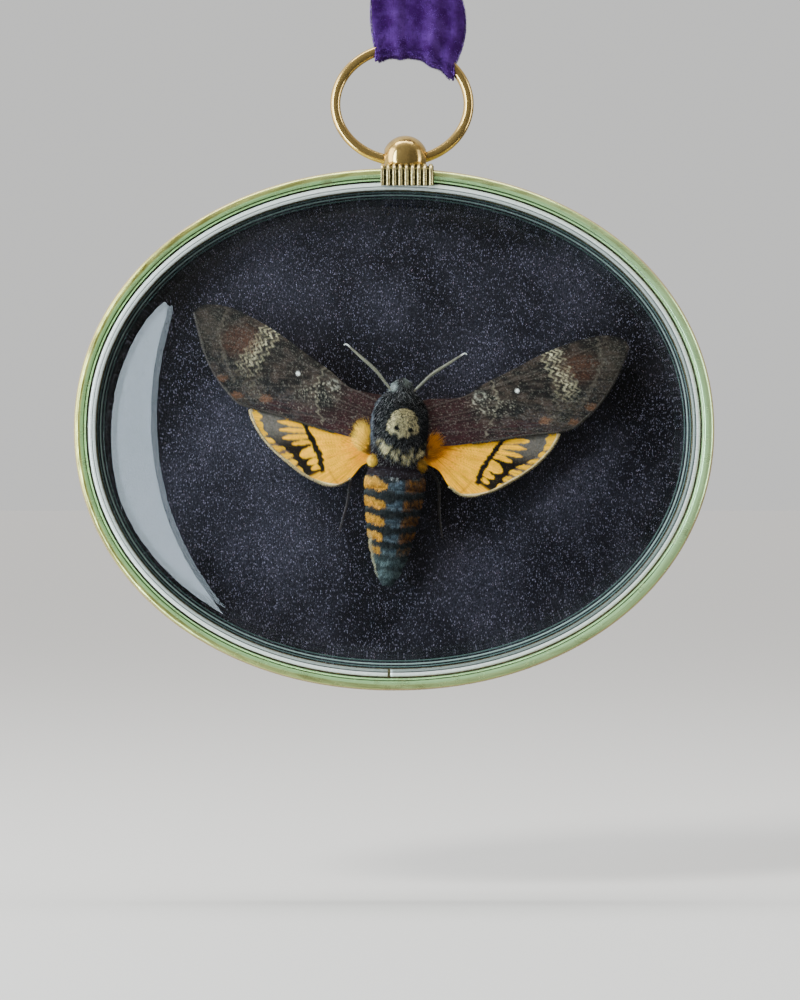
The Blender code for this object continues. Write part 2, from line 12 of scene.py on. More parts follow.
import bmesh
import bpy
import numpy as np
from bpy.props import FloatProperty, FloatVectorProperty, IntProperty, PointerProperty
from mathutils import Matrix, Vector


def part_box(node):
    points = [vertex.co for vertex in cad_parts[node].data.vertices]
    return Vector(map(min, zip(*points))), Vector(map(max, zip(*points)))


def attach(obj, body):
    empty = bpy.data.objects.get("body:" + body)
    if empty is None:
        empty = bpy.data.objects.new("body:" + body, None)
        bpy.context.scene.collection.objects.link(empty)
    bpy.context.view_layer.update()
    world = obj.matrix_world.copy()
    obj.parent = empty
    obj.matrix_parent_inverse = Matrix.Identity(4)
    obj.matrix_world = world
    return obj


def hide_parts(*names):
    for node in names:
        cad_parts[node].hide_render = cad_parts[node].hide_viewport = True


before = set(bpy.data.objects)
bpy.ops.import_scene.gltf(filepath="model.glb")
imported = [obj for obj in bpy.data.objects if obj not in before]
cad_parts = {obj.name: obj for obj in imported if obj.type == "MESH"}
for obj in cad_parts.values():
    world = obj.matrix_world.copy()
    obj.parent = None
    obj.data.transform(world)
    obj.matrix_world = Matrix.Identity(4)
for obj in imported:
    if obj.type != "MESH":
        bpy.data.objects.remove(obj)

bl_info = {
    "name": "Framed Moth",
    "version": (1, 0, 0),
    "blender": (4, 5, 0),
    "location": "View3D > Sidebar > Framed Moth",
    "description": "Builds a spread moth under domed glass in an oval brass case on a velvet ribbon",
    "category": "Add Mesh",
}

MM = 0.001
GROUND_SEED, RIBBON_SEED, TAB_SEED, THORAX_SEED, ABDOMEN_SEED = 11, 21, 22, 31, 32
MARK_SEED, FOREWING_SEED, HINDWING_SEED, FOREWING_FRINGE_SEED, HINDWING_FRINGE_SEED = 50, 50, 60, 70, 80
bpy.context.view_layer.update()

# Case: its middle and half sizes are the rim's own
RIM_LOW, RIM_HIGH = (np.array(corner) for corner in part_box("rim"))
CASE_MIDDLE = (RIM_LOW + RIM_HIGH) / 2
RIM_HALF = (RIM_HIGH - RIM_LOW)[[0, 2]] / 2
RIM_FRONT = (RIM_HIGH - RIM_LOW)[1] / 2
OVAL_POWER = 2.066
# Turn of the rim's painted highlight, where its mint shows brightest
HIGHLIGHT_TURN = math.radians(15)  # below the right, where the rim's mint is strongest
# At this turn the painted shade on the split ring and the painted highlight on the bevels are strongest
SHADE_TURN = math.radians(40)  # below the right, where the split ring is greyest and the bevels brightest
WALL_INSET = 3.0 * MM
LEDGE_INSET = 5.2 * MM
LEDGE_HEIGHTS = (-1.6 * MM, 3.6 * MM)
SEAT_INSET = 3.3 * MM
FLANGE_INSET = 7.5 * MM
DOME_RADIUS_RATIO = 1.35  # radius of the sphere that the dome is taken from, over its half width
LIP_WIDTH = 1.7 * MM
LIP_GROOVE = 1.02 * MM
LIP_SPLIT_X = -1.1 * MM
LIP_SPLIT_HALF = 0.3 * MM
LIP_EDGE = 0.1 * MM
GROOVE_HALF = 0.09 * MM
GROOVE_DEPTH = 0.24 * MM
GROUND_INSET = SEAT_INSET + 0.2 * MM
PILE_INSET = SEAT_INSET + 2.0 * MM
GROUND_SWELL = 0.12 * MM
GLASS_THICKNESS = 1.5 * MM
UNDERSIDE_SHARE = 0.985  # width of the dome's underside over its outside
# Flange of the glass, from the dome's foot round to its underside: millimetres inset and forward
BRIM_PROFILE = ((7.35, 0.0), (7.2, 0.12), (6.95, 0.17), (6.7, 0.1), (6.55, -0.05), (6.4, 0.02),
                (6.2, 0.05), (6.0, -0.02), (5.85, -0.2), (5.6, -0.24), (5.4, -0.2), (5.2, -0.32),
                (4.6, -0.4), (3.4, -0.42), (3.3, -0.6), (3.3, -1.35), (3.45, -1.5), (6.5, -1.5))
BEVELS = ((5.5, 0.14, "5f7875"), (6.15, 0.2, "8aa29e"), (6.9, 0.13, "4c6360"))  # inset, radius, colour
WIRE_SHARE = 1.05  # the wire's thickness over the solid model's
BORE_RADIUS = 1.75 * MM
MOUTH_WIDENING = 0.35 * MM
STRAP_THICKNESS = 0.3 * MM
STRAP_TOP_Y = 3.0 * MM  # row y at which the strap begins, behind the ball
STRAP_CLEARANCE = 0.15 * MM  # from the ball
RIB_SHARE = 0.36  # half a rib's width over the pitch

# Ribbon: the lengths that its route in the solid model has
RIBBON_FOLD_X = (-4.1 * MM, 13.8 * MM)
RIBBON_MIDDLE_X = (-5.2 * MM, 16.3 * MM)
RIBBON_TOP_HALF_WIDTH = 5.2 * MM
RIBBON_TOP_Z = 113.0 * MM
RIBBON_BEND_SHARE = 0.3
RIBBON_RIDGES = ((0.06, 0.07, 0.35), (0.33, 0.075, 1.0), (0.5, 0.06, 0.25), (0.74, 0.09, 1.2),
                 (0.97, 0.05, 0.5))  # middle and width across the ribbon, height
RIBBON_GAP = 0.3 * MM
RIBBON_HALF_THICKNESS = 0.5 * MM
CRUMPLE_DEPTH = 0.06 * MM
STRAND_TOP_OFFSET = 0.7 * MM
RIBBON_FIBRES = 36000
TAB_FIBRES = 9000
EYE_X = 3.0 * MM
EYE_Z = 117.0 * MM
EYE_RADIUS = 3.5 * MM
EYE_TAB_RADIUS = 6.8 * MM
TAB_WIDTH_SHARE = 0.97
TAB_SQUARING = 0.8 * MM
TAB_HALF_THICKNESS = 1.2 * MM

# Moth frame in the case
MOTH_PLACE = (2.3 * MM, 0.33 * MM)
MOTH_TURN = math.radians(-4.5)

# Moth, in millimetres from its middle
BODY_X = -1.1
BODY_LIFT = 4.5
BODY_FLATTENING = 0.85
FOREWING_LIFT = 5.2
HINDWING_LIFT = 4.2
WING_HALF_THICKNESS = 0.14
GROOVE_AT_SEGMENTS = 0.28
SKIN_INSET = 0.3
HAIR_ROOT_INSET = 0.45
BODY_OUTLINE = ((11.8, 0.0), (11.6, 1.0), (10.8, 2.1), (9.4, 2.8), (8.4, 3.3), (7.4, 4.5), (6.2, 5.5),
                (4.2, 6.3), (2.0, 6.6), (-1.0, 6.7), (-4.5, 6.4), (-7.0, 5.7), (-8.6, 5.7), (-11.7, 7.2),
                (-16.4, 7.0), (-20.4, 6.4), (-24.1, 5.7), (-27.6, 5.0), (-30.8, 4.1), (-33.8, 3.0),
                (-36.2, 1.5), (-36.9, 0.0))  # y, half width
SEGMENT_ENDS = (-9.0, -14.4, -18.4, -22.3, -25.9, -29.2, -32.3, -35.2)
FOREWING_LEADING = ((1.0, 4.4), (4.4, 7.0), (9.6, 7.7), (13.5, 8.6), (18.2, 12.0), (23.7, 15.3), (29.9, 19.2),
                    (36.7, 22.7), (43.7, 25.1), (49.0, 25.0), (51.0, 23.2))
FOREWING_TRAILING = ((1.0, -2.5), (6.0, -3.6), (11.5, -3.2), (16.1, -2.3), (22.2, -1.0), (28.8, 0.6),
                     (38.2, 2.6), (42.5, 6.1), (45.5, 9.8), (48.2, 14.9), (49.6, 18.9), (51.0, 23.2))
HINDWING_LEADING = ((1.0, -3.0), (6.0, -1.6), (12.0, 0.2), (18.0, 2.6), (26.0, 4.4), (33.0, 4.2), (36.4, 1.6))
HINDWING_TRAILING = ((1.0, -6.5), (6.0, -8.0), (9.0, -9.4), (11.5, -12.6), (14.4, -14.4), (17.1, -14.6),
                     (20.2, -13.6), (23.7, -11.9), (29.5, -7.8), (32.9, -4.5), (35.4, -0.9), (36.4, 1.6))
LEGS = (((3.0, 5.0, 1.5), (7.2, 6.0, 1.0), (9.6, 4.0, -0.4), (9.0, 1.2, -1.0)),
        ((3.5, -1.0, 1.5), (9.5, -1.5, 1.6), (12.0, -6.5, 0.0), (11.5, -11.5, -1.0)),
        ((4.0, -6.0, 1.5), (9.8, -11.5, 1.4), (10.9, -18.7, -0.2), (12.1, -25.0, -1.0)))
LEG_RADII = (0.5, 0.42, 0.34, 0.3, 0.22)
ANTENNA = ((2.2, 8.2, 5.2), (4.2, 10.4, 5.6), (6.6, 13.0, 6.0), (10.0, 15.6, 6.1), (12.6, 17.6, 6.0),
           (13.8, 18.5, 5.8), (14.5, 18.3, 5.5))
ANTENNA_RINGS = 46
ANTENNA_RADII = (0.22, 0.3, 0.36, 0.38, 0.34, 0.24, 0.12)

# Markings of the body
SHOULDER_STRIP = ((-5.4, 8.4), (-7.4, 4.6), (-7.3, 0.0), (-6.6, -3.8), (-5.6, -5.2))
SHOULDER_GROOVE = ((-5.2, 6.4), (-6.3, 3.2), (-6.2, -1.0), (-5.6, -4.0))
MARK_HEIGHTS = (-3.2, -1.8, -0.8, 0.6, 2.6, 3.9, 4.4)
MARK_HALF_WIDTHS = (0.6, 2.4, 3.4, 3.6, 2.8, 2.0, 0.6)
MARK_SPOTS = ((-1.7, -0.1, 0.46), (1.45, -0.28, 0.46), (0.05, -2.7, 0.4))  # x, y, radius
MARK_PITS = ((-1.7, -0.1, 0.42), (1.45, -0.28, 0.42), (0.05, -2.7, 0.32))  # dark hairs in the mark's spots
MARK_PIT_HEIGHTS = (10.3, 9.9, 10.1)
WAIST_SPOTS = ((-1.9, -12.0), (-0.7, -12.1))

# Yellow tufts: hairs, middle, radii, way, lengths, tint of the moth's yellow, seed, spread
CREAM = np.array((0.98, 1.3, 20.0))
TUFTS = (
    ("waist_tuft_left", 2600, (-5.9, -8.0, 7.0), (1.5, 1.2), (-0.15, -0.5, 0.3), (0.6, 1.2), CREAM, 41, 0.6),
    # The right-hand tufts have darker tints: painted shade on the side away from the light
    ("waist_tuft_right", 2200, (4.2, -8.4, 6.7), (1.4, 1.3), (0.2, -0.5, 0.3), (0.6, 1.2),
     CREAM * (0.6, 0.5, 0.5), 42, 0.6),
    ("wing_tuft_left", 3200, (-7.9, -4.3, 5.6), (0.9, 2.4), (-0.66, 0.7, 0.04), (1.0, 5.2), CREAM, 43, 0.3),
    ("wing_tuft_right", 2600, (6.1, -4.6, 5.5), (0.9, 2.2), (0.7, 0.62, 0.04), (1.0, 4.4),
     (0.55, 0.42, 2.0), 44, 0.3))

# Markings of the forewing
FOREWING_VEINS = (
    ((5, 5), (27, 14.5), (36, 19), (46, 24)), ((5, 5), (27, 14.0), (38, 18.6), (50.3, 20.8)),
    ((27, 13.2), (38, 16.4), (49.2, 17.6)), ((27, 12.2), (38, 14.2), (48.0, 14.6)),
    ((27, 11.0), (38, 11.8), (46.6, 11.9)), ((26, 9.6), (36, 9.4), (44.9, 9.0)),
    ((5, 2), (24, 8.0), (35, 7.0), (42.6, 6.2)), ((5, 1), (20, 4.6), (32, 4.6), (39.8, 3.8)),
    ((5, -1), (18, 0.9), (34, 1.6)))
LOWER_PATCH = ((24, 1.5), (38, 6.0), (45, 11))
MIDDLE_BAND = ((32.0, 21.4), (33.4, 19.0), (35.6, 15.5), (37.6, 12.0), (37.2, 8.5), (34.0, 3.5))
MIDDLE_LINES = ((-2.3, 0.5), (-0.4, 1.0), (1.0, 0.7), (2.4, 0.45))  # shift from the band's middle, strength
INNER_LINE = ((19.5, 13.0), (21.5, 8.0), (20.5, 3.0), (19.0, -0.5))
OUTER_LINE = ((43.5, 24.2), (45.0, 19.0), (43.2, 13.0), (40.5, 8.0))
RUST_SPOTS = ((39.6, 4.5), (32.7, 4.3), (43.4, 8.4))

# Markings of the hindwing, by turn about its hinge and reach from it
HINDWING_HINGE = (4.0, -3.0)
HINDWING_TURNS = (-0.83, -0.524, -0.4, -0.3, -0.2, -0.12, -0.05, 0.03, 0.12, 0.2)
INNER_BAND = (17.0, 16.5, 16.0, 16.0, 16.4, 16.9, 17.5, 18.4, 19.6, 20.4)
OUTER_BAND = (19.0, 19.3, 19.8, 20.3, 21.2, 23.6, 25.6, 26.9, 27.4, 27.6)
OUTER_HALF = (0.6, 0.8, 1.0, 1.1, 1.1, 1.3, 1.7, 2.0, 2.1, 2.1)
HINDWING_MARGIN = (15.5, 20.2, 21.9, 23.4, 25.6, 27.4, 28.9, 30.7, 32.3, 32.6)
# Turn at root and tip, half width, reach of the tip
FINGERS = ((0.155, 0.155, 0.8, 25.4), (0.092, 0.09, 0.8, 25.9), (0.03, 0.014, 0.72, 25.2),
           (-0.033, -0.06, 0.8, 24.4), (-0.1, -0.125, 0.75, 22.2), (-0.225, -0.26, 1.55, 20.6),
           (-0.36, -0.375, 0.9, 19.4), (-0.455, -0.46, 0.8, 18.9))
SCALLOPS = ((0.165, 0.9), (0.105, 0.95), (0.042, 0.9), (-0.02, 0.75), (-0.085, 0.7), (-0.155, 0.7),
            (-0.235, 0.8), (-0.32, 0.9), (-0.42, 0.9), (-0.5, 0.8))  # turn, half width

# Stage
WINDOW_PLACE = (-0.56, -0.385, -0.24)
WINDOW_SIZE = (0.16, 1.35)
WINDOW_POWER = 12.5
WINDOW_COLOUR = (0.72, 0.87, 1.0)
FILL_LIGHTS = (("left", (-0.75, -0.12, 0.05), 0.35, 0.9, 5.0, (1.0, 0.97, 0.9)),
               ("right", (0.8, -0.16, 0.0), 0.18, 0.8, 3.4, (0.95, 0.98, 1.0)),
               ("top", (-0.1, 0.02, 0.65), 0.9, 0.2, 5.0, (1.0, 0.99, 0.95)))  # place, sizes, power, colour
SUN_WAY = (0.42, 0.66, -0.62)
SUN_COLOUR = (1.0, 0.97, 0.92)


def linear(code):
    """Scene-linear colour of a hex code."""
    share = np.array([int(code[i:i + 2], 16) for i in (0, 2, 4)]) / 255
    return np.where(share <= 0.04045, share / 12.92, ((share + 0.055) / 1.055) ** 2.4)


def shade(name, description, code):
    """A colour setting."""
    return FloatVectorProperty(name=name, description=description, subtype="COLOR", size=3, min=0.0, max=1.0,
                               default=tuple(linear(code)))


def size(name, description, default):
    """A length setting."""
    return FloatProperty(name=name, description=description, default=default, min=0.0, unit="LENGTH")


def amount(name, description, default):
    """A whole number setting."""
    return IntProperty(name=name, description=description, default=default, min=8)


class CaseSettings(bpy.types.PropertyGroup):
    bead_radius: size("Bead radius", "Rounding of the rim's front edge", 1.5 * MM)
    lip_rounding: size("Lip rounding", "Rounding of the ring that holds the glass", 0.6 * MM)
    brass: shade("Brass", "Clean brass of the rim", "dfe27e")
    patina: shade("Patina", "Green tarnish on the rim", "6a6424")
    tan: shade("Tan", "Tarnish along the rim's outer edge", "d6c48e")
    lip: shade("Lip", "Bright metal of the ring on the glass", "f4fffa")
    board: shade("Board", "Card at the back", "8a6b48")


class RingSettings(bpy.types.PropertyGroup):
    brass: shade("Brass", "Warm brass of the ring and its ball", "d8b66c")
    tarnish: shade("Tarnish", "Brown tarnish of the ring and its ball", "5a461e")
    ribs: amount("Ribs", "Ribs of the saddle under the ball", 9)
    rib_pitch: size("Rib pitch", "From one rib to the next", 1.43 * MM)
    rib_height: size("Rib height", "How far the ribs stand up", 0.5 * MM)


class RibbonSettings(bpy.types.PropertyGroup):
    thickness: size("Thickness", "Thickness of the velvet ribbon", 0.9 * MM)
    pleat: size("Pleat", "Depth of its soft folds", 1.3 * MM)
    deep: shade("Deep", "Violet in the folds", "2c0646")
    light: shade("Light", "Lavender where the pile catches the light", "8a5ac8")


class GroundSettings(bpy.types.PropertyGroup):
    deep: shade("Deep", "Navy of the velvet ground", "06050a")
    light: shade("Light", "Grey-blue of its nap", "565362")
    fibres: amount("Fibres", "Loose pile fibres that catch the light", 49000)
    fibre_length: size("Fibre length", "Length of a pile fibre", 0.25 * MM)


class MothSettings(bpy.types.PropertyGroup):
    thorax_hairs: amount("Thorax hairs", "Hairs on the head and thorax", 38000)
    abdomen_hairs: amount("Abdomen hairs", "Hairs on the abdomen", 30000)
    fur: shade("Fur", "Blue-black of the thorax", "09090c")
    fleck: shade("Fleck", "Pale hairs among the dark", "8b8a8c")
    skull: shade("Skull mark", "Cream of the mark on the thorax", "f6e4ac")
    yellow: shade("Yellow", "Yellow of the hindwings and abdomen", "f9ae08")
    brown: shade("Brown", "Dark ground of the forewings", "1d1613")


class StageSettings(bpy.types.PropertyGroup):
    floor_z: FloatProperty(name="Floor height", description="Height of the floor under the hung case",
                           default=-0.232, unit="LENGTH")
    distance: size("Camera distance", "From the camera to the rim's front", 0.8)
    view_height: size("View height", "Height of what the camera sees at the rim", 0.2337)
    view_middle: FloatVectorProperty(name="View middle", description="Row x and z at the picture's middle",
                                     default=(-0.00162, -0.137), size=2, unit="LENGTH")


def grid(points, close_rows=False, close_columns=False):
    """Quads of rows and columns of points, joined to the first row or column where they close."""
    rows, columns = points.shape[:2]
    i = np.arange(rows if close_rows else rows - 1)[:, None]
    j = np.arange(columns if close_columns else columns - 1)[None, :]
    k, m = (i + 1) % rows, (j + 1) % columns
    corners = np.broadcast_arrays(i * columns + j, i * columns + m, k * columns + m, k * columns + j)
    return np.stack(corners, axis=-1).reshape(-1, 4)


def volume(points, groups):
    """Signed volume: a sixth of the triple product of each triangle of each face's fan."""
    total = 0.0
    for group in groups:
        first = points[group[:, 0]]
        for i in range(1, group.shape[1] - 1):
            total += np.einsum("ij,ij", first, np.cross(points[group[:, i]], points[group[:, i + 1]]))
    return total / 6


def weld(mesh, distance=2e-7):
    """Joins the points that meet at a pole or a seam."""
    work = bmesh.new()
    work.from_mesh(mesh)
    bmesh.ops.remove_doubles(work, verts=work.verts, dist=distance)
    work.to_mesh(mesh)
    work.free()


def piece(name, points, faces, body, finish, colours=None, replaced=(), welded=False):
    """A closed mesh in the row frame with its faces turned outwards, which rides on its body."""
    groups = [np.asarray(group) for group in (faces if isinstance(faces, list) else [faces])]
    points = points.reshape(-1, 3)
    if volume(points - points.mean(axis=0), groups) < 0:
        groups = [group[:, ::-1] for group in groups]
    mesh = bpy.data.meshes.new(name)
    mesh.vertices.add(len(points))
    mesh.vertices.foreach_set("co", points.astype(np.float32).ravel())
    corners = np.concatenate([group.ravel() for group in groups]).astype(np.int32)
    sizes = np.concatenate([np.full(len(group), group.shape[1]) for group in groups])
    mesh.loops.add(len(corners))
    mesh.loops.foreach_set("vertex_index", corners)
    mesh.polygons.add(len(sizes))
    mesh.polygons.foreach_set("loop_start", (np.cumsum(sizes) - sizes).astype(np.int32))
    mesh.update(calc_edges=True)
    if colours is not None:
        layer = mesh.color_attributes.new("Colour", "FLOAT_COLOR", "POINT")
        opaque = np.column_stack([colours.reshape(-1, 3), np.ones(len(points))])
        layer.data.foreach_set("color", opaque.astype(np.float32).ravel())
    if welded:
        weld(mesh)
    mesh.shade_smooth()
    mesh.materials.append(finish)
    item = bpy.data.objects.new(name, mesh)
    bpy.context.scene.collection.objects.link(item)
    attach(item, body)
    if replaced:
        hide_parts(*replaced)
    return item


def from_case(points):
    """Case frame (x right, y up, z forward) to row frame."""
    x, y, z = points[..., 0], points[..., 1], points[..., 2]
    return joined(CASE_MIDDLE[0] + x, CASE_MIDDLE[1] - z, CASE_MIDDLE[2] + y)


def from_moth(points):
    """Moth frame in millimetres to row frame: a turn about the forward axis and a shift in the case."""
    c, s = math.cos(MOTH_TURN), math.sin(MOTH_TURN)
    x, y, z = points[..., 0] * MM, points[..., 1] * MM, points[..., 2] * MM
    return from_case(joined(MOTH_PLACE[0] + c * x - s * y, MOTH_PLACE[1] + s * x + c * y, z))


def heights(name):
    """How far forward of the rim's middle a node of the case begins and ends."""
    low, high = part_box(name)
    return CASE_MIDDLE[1] - high.y, CASE_MIDDLE[1] - low.y


def oval(inset, angle):
    """The rim's outline at these angles, moved inwards along its normal by the inset.

    It is the superellipse |x/a|^p + |y/b|^p = 1 with a and b the rim's half sizes.
    """
    way = joined(np.cos(angle), np.sin(angle))
    points = RIM_HALF * np.sign(way) * np.abs(way) ** (2 / OVAL_POWER)
    normals = np.sign(points) * np.abs(points / RIM_HALF) ** (OVAL_POWER - 1) / RIM_HALF
    return points - np.asarray(inset)[..., None] * unit(normals)


def carried(profile, angle):
    """The oval's section: each (inset, forward) point of the profile carried round the outline."""
    flat = oval(profile[None, :, 0], angle[:, None])
    forward = np.broadcast_to(profile[None, :, 1], flat.shape[:2])
    return np.concatenate([flat, forward[..., None]], axis=-1)


def rounded(corners, steps=7):
    """A closed outline of (x, y, radius) corners, each rounded by a cubic that is close to an arc."""
    corners = np.array(corners, float)
    point, radius = corners[:, :2], corners[:, 2:]
    before, after = np.roll(point, 1, axis=0) - point, np.roll(point, -1, axis=0) - point
    start, end = point + radius * unit(before), point + radius * unit(after)
    near, far = start + 0.55 * (point - start), end + 0.55 * (point - end)
    t = np.linspace(0, 1, steps)[:, None, None]
    curve = (1 - t)**3 * start + 3 * t * (1 - t)**2 * near + 3 * t**2 * (1 - t) * far + t**3 * end
    return curve.transpose(1, 0, 2).reshape(-1, 2)


def smooth_line(points, count):
    """Points at equal steps along the Catmull-Rom curve through the given ones."""
    p = np.asarray(points, float)
    ends = np.vstack([2 * p[0] - p[1], p, 2 * p[-1] - p[-2]])
    a, b, c, d = ends[:-3, None], ends[1:-2, None], ends[2:-1, None], ends[3:, None]
    t = np.linspace(0, 1, 24, endpoint=False)[None, :, None]
    curve = 0.5 * (2 * b + (c - a) * t + (2 * a - 5 * b + 4 * c - d) * t**2 + (3 * b - a - 3 * c + d) * t**3)
    fine = np.vstack([curve.reshape(-1, p.shape[1]), p[-1:]])
    run = np.concatenate([[0], np.cumsum(np.linalg.norm(np.diff(fine, axis=0), axis=1))])
    steps = np.linspace(0, run[-1], count)
    return np.stack([np.interp(steps, run, fine[:, k]) for k in range(p.shape[1])], axis=1)


def joined(*values):
    """Arrays and numbers side by side, as the components of points."""
    return np.stack(np.broadcast_arrays(*values), axis=-1)


def box_corners(name):
    """Low and high corner of a node's box."""
    return (np.array(corner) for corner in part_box(name))


def turns(count):
    """Equal angles round a full turn."""
    return np.linspace(0, 2 * np.pi, count, endpoint=False)


def unit(vectors):
    """Vectors at length 1."""
    return vectors / np.maximum(np.linalg.norm(vectors, axis=-1, keepdims=True), 1e-12)


def noise(x, y, seed=0):
    """Value noise from -1 to 1: a hashed number at each whole corner, blended by smoothstep."""
    i, j = np.floor(x), np.floor(y)
    u, v = x - i, y - j
    u, v = u * u * (3 - 2 * u), v * v * (3 - 2 * v)

    def corner(a, b):
        mixed = np.sin((i + a) * 127.1 + (j + b) * 311.7 + seed * 74.7) * 43758.5453
        return np.modf(np.abs(mixed))[0] * 2 - 1

    low = corner(0, 0) * (1 - u) + corner(1, 0) * u
    high = corner(0, 1) * (1 - u) + corner(1, 1) * u
    return low * (1 - v) + high * v


def cloud(x, y, seed=0):
    """Four octaves of value noise, each twice as fine and half as strong."""
    return sum(noise(x * 2**k, y * 2**k, seed + k) / 2**k for k in range(4)) / 1.6


def inside(value, edge, softness):
    """1 where the value is under the edge, 0 above it, with a soft step between."""
    t = np.clip((edge - value) / softness + 0.5, 0, 1)
    return t * t * (3 - 2 * t)


def lay(colours, *layers):
    """Layers of (colour or hex code, mask), each laid over those before it."""
    for colour, mask in layers:
        colour = linear(colour) if isinstance(colour, str) else np.asarray(colour)
        colours = colours + (colour - colours) * mask[..., None]
    return colours


def one_colour(shape, colour):
    """The same colour at every point of a shape."""
    return np.zeros((*shape, 3)) + np.array(colour)


def blend_tones(first, second, share):
    """Between two colours by a share at each point."""
    return first + (second - first) * share[..., None]


def spot(x, y, middle, radius, softness, squash=1.0):
    """Mask of a soft round spot, or an oval one where its height is squashed."""
    return inside(np.hypot(x - middle[0], (y - middle[1]) * squash), radius, softness)


def to_line(x, y, line):
    """Distance from each point to the nearest part of a line of points."""
    nearest = np.full(np.shape(x), 1e9)
    for (x0, y0), (x1, y1) in zip(line, line[1:]):
        dx, dy = x1 - x0, y1 - y0
        t = np.clip(((x - x0) * dx + (y - y0) * dy) / (dx * dx + dy * dy), 0, 1)
        nearest = np.minimum(nearest, np.hypot(x - x0 - t * dx, y - y0 - t * dy))
    return nearest


def tube(path, radii, sides, up=(0.0, 0.0, 1.0), closed=False):
    """A round section carried along a path: path + r (cos a * across + sin a * above)."""
    ahead = np.roll(path, -1, axis=0) - np.roll(path, 1, axis=0) if closed else np.gradient(path, axis=0)
    ahead = unit(ahead)
    across = unit(np.cross(ahead, up))
    above = np.cross(across, ahead)
    a = turns(sides)[None, :, None]
    around = np.cos(a) * across[:, None] + np.sin(a) * above[:, None]
    return path[:, None] + np.reshape(radii, (-1, 1, 1)) * around


def needles(roots, ways, lengths, widths):
    """Closed slivers: a small triangle across each root that runs out to a point along its way."""
    ways = unit(ways)
    steep = np.abs(ways[:, 2:]) > 0.9
    across = unit(np.cross(ways, np.where(steep, [1.0, 0.0, 0.0], [0.0, 0.0, 1.0])))
    above = np.cross(ways, across)
    a = np.array([0, 2, 4])[None, :, None] * np.pi / 3
    base = roots[:, None] + widths[:, None, None] * (np.cos(a) * across[:, None] + np.sin(a) * above[:, None])
    points = np.concatenate([base, (roots + lengths[:, None] * ways)[:, None]], axis=1)
    corners = np.array([[0, 2, 1], [0, 1, 3], [1, 2, 3], [2, 0, 3]])
    return points, (np.arange(len(roots))[:, None, None] * 4 + corners).reshape(-1, 3)


def root_to_tip(colours, dark=0.55):
    """Needle colours, four corners each, darker at the root: painted shade among the fibres."""
    return np.stack([colours * dark] * 3 + [colours], axis=1)


def node(tree, kind, inputs=(), **settings):
    """A node with its settings, whose inputs take either a value or another node's output."""
    made = tree.nodes.new("ShaderNode" + kind)
    for key, value in settings.items():
        setattr(made, key, value)
    for key, value in dict(inputs).items():
        if isinstance(value, bpy.types.NodeSocket):
            tree.links.new(value, made.inputs[key])
        else:
            made.inputs[key].default_value = value
    return made


def maths(tree, operation, *values, clamp=False):
    """Result of a sum, product or the like of values and sockets."""
    return node(tree, "Math", dict(enumerate(values)), operation=operation, use_clamp=clamp).outputs[0]


def mapped(tree, value, start, stop, first=0.0, last=1.0):
    """A value's place between start and stop, as the same share of the way from first to last."""
    return node(tree, "MapRange", {0: value, 1: start, 2: stop, 3: first, 4: last}).outputs[0]


def ramp(tree, factor, stops):
    """A colour ramp of (position, grey or colour) stops."""
    made = node(tree, "ValToRGB", {"Fac": factor})
    elements = made.color_ramp.elements
    while len(elements) < len(stops):
        elements.new(0.5)
    for element, (position, value) in zip(elements, stops):
        element.position = position
        element.color = (*(value if np.ndim(value) else (value,) * 3), 1.0)
    return made.outputs["Color"]


def blend_colour(tree, factor, first, second, how="MIX"):
    """A colour mix: its first and second colours may be values or sockets."""
    made = node(tree, "Mix", data_type="RGBA", blend_type=how)
    for index, value in ((0, factor), (6, first), (7, second)):
        if isinstance(value, bpy.types.NodeSocket):
            tree.links.new(value, made.inputs[index])
        else:
            made.inputs[index].default_value = (*value, 1.0) if np.ndim(value) else value
    return made.outputs[2]


def new_group(name, inputs, outputs):
    """A node group with named sockets, its input node and its output node."""
    tree = bpy.data.node_groups.new(name, "ShaderNodeTree")
    for label, kind, default in inputs:
        socket = tree.interface.new_socket(label, in_out="INPUT", socket_type="NodeSocket" + kind)
        if default is not None:
            socket.default_value = default
    for label, kind in outputs:
        tree.interface.new_socket(label, in_out="OUTPUT", socket_type="NodeSocket" + kind)
    return tree, tree.nodes.new("NodeGroupInput").outputs, tree.nodes.new("NodeGroupOutput").inputs


def give(tree, wanted, **results):
    """Links a group's results to its outputs."""
    for label, result in results.items():
        tree.links.new(result, wanted[label])


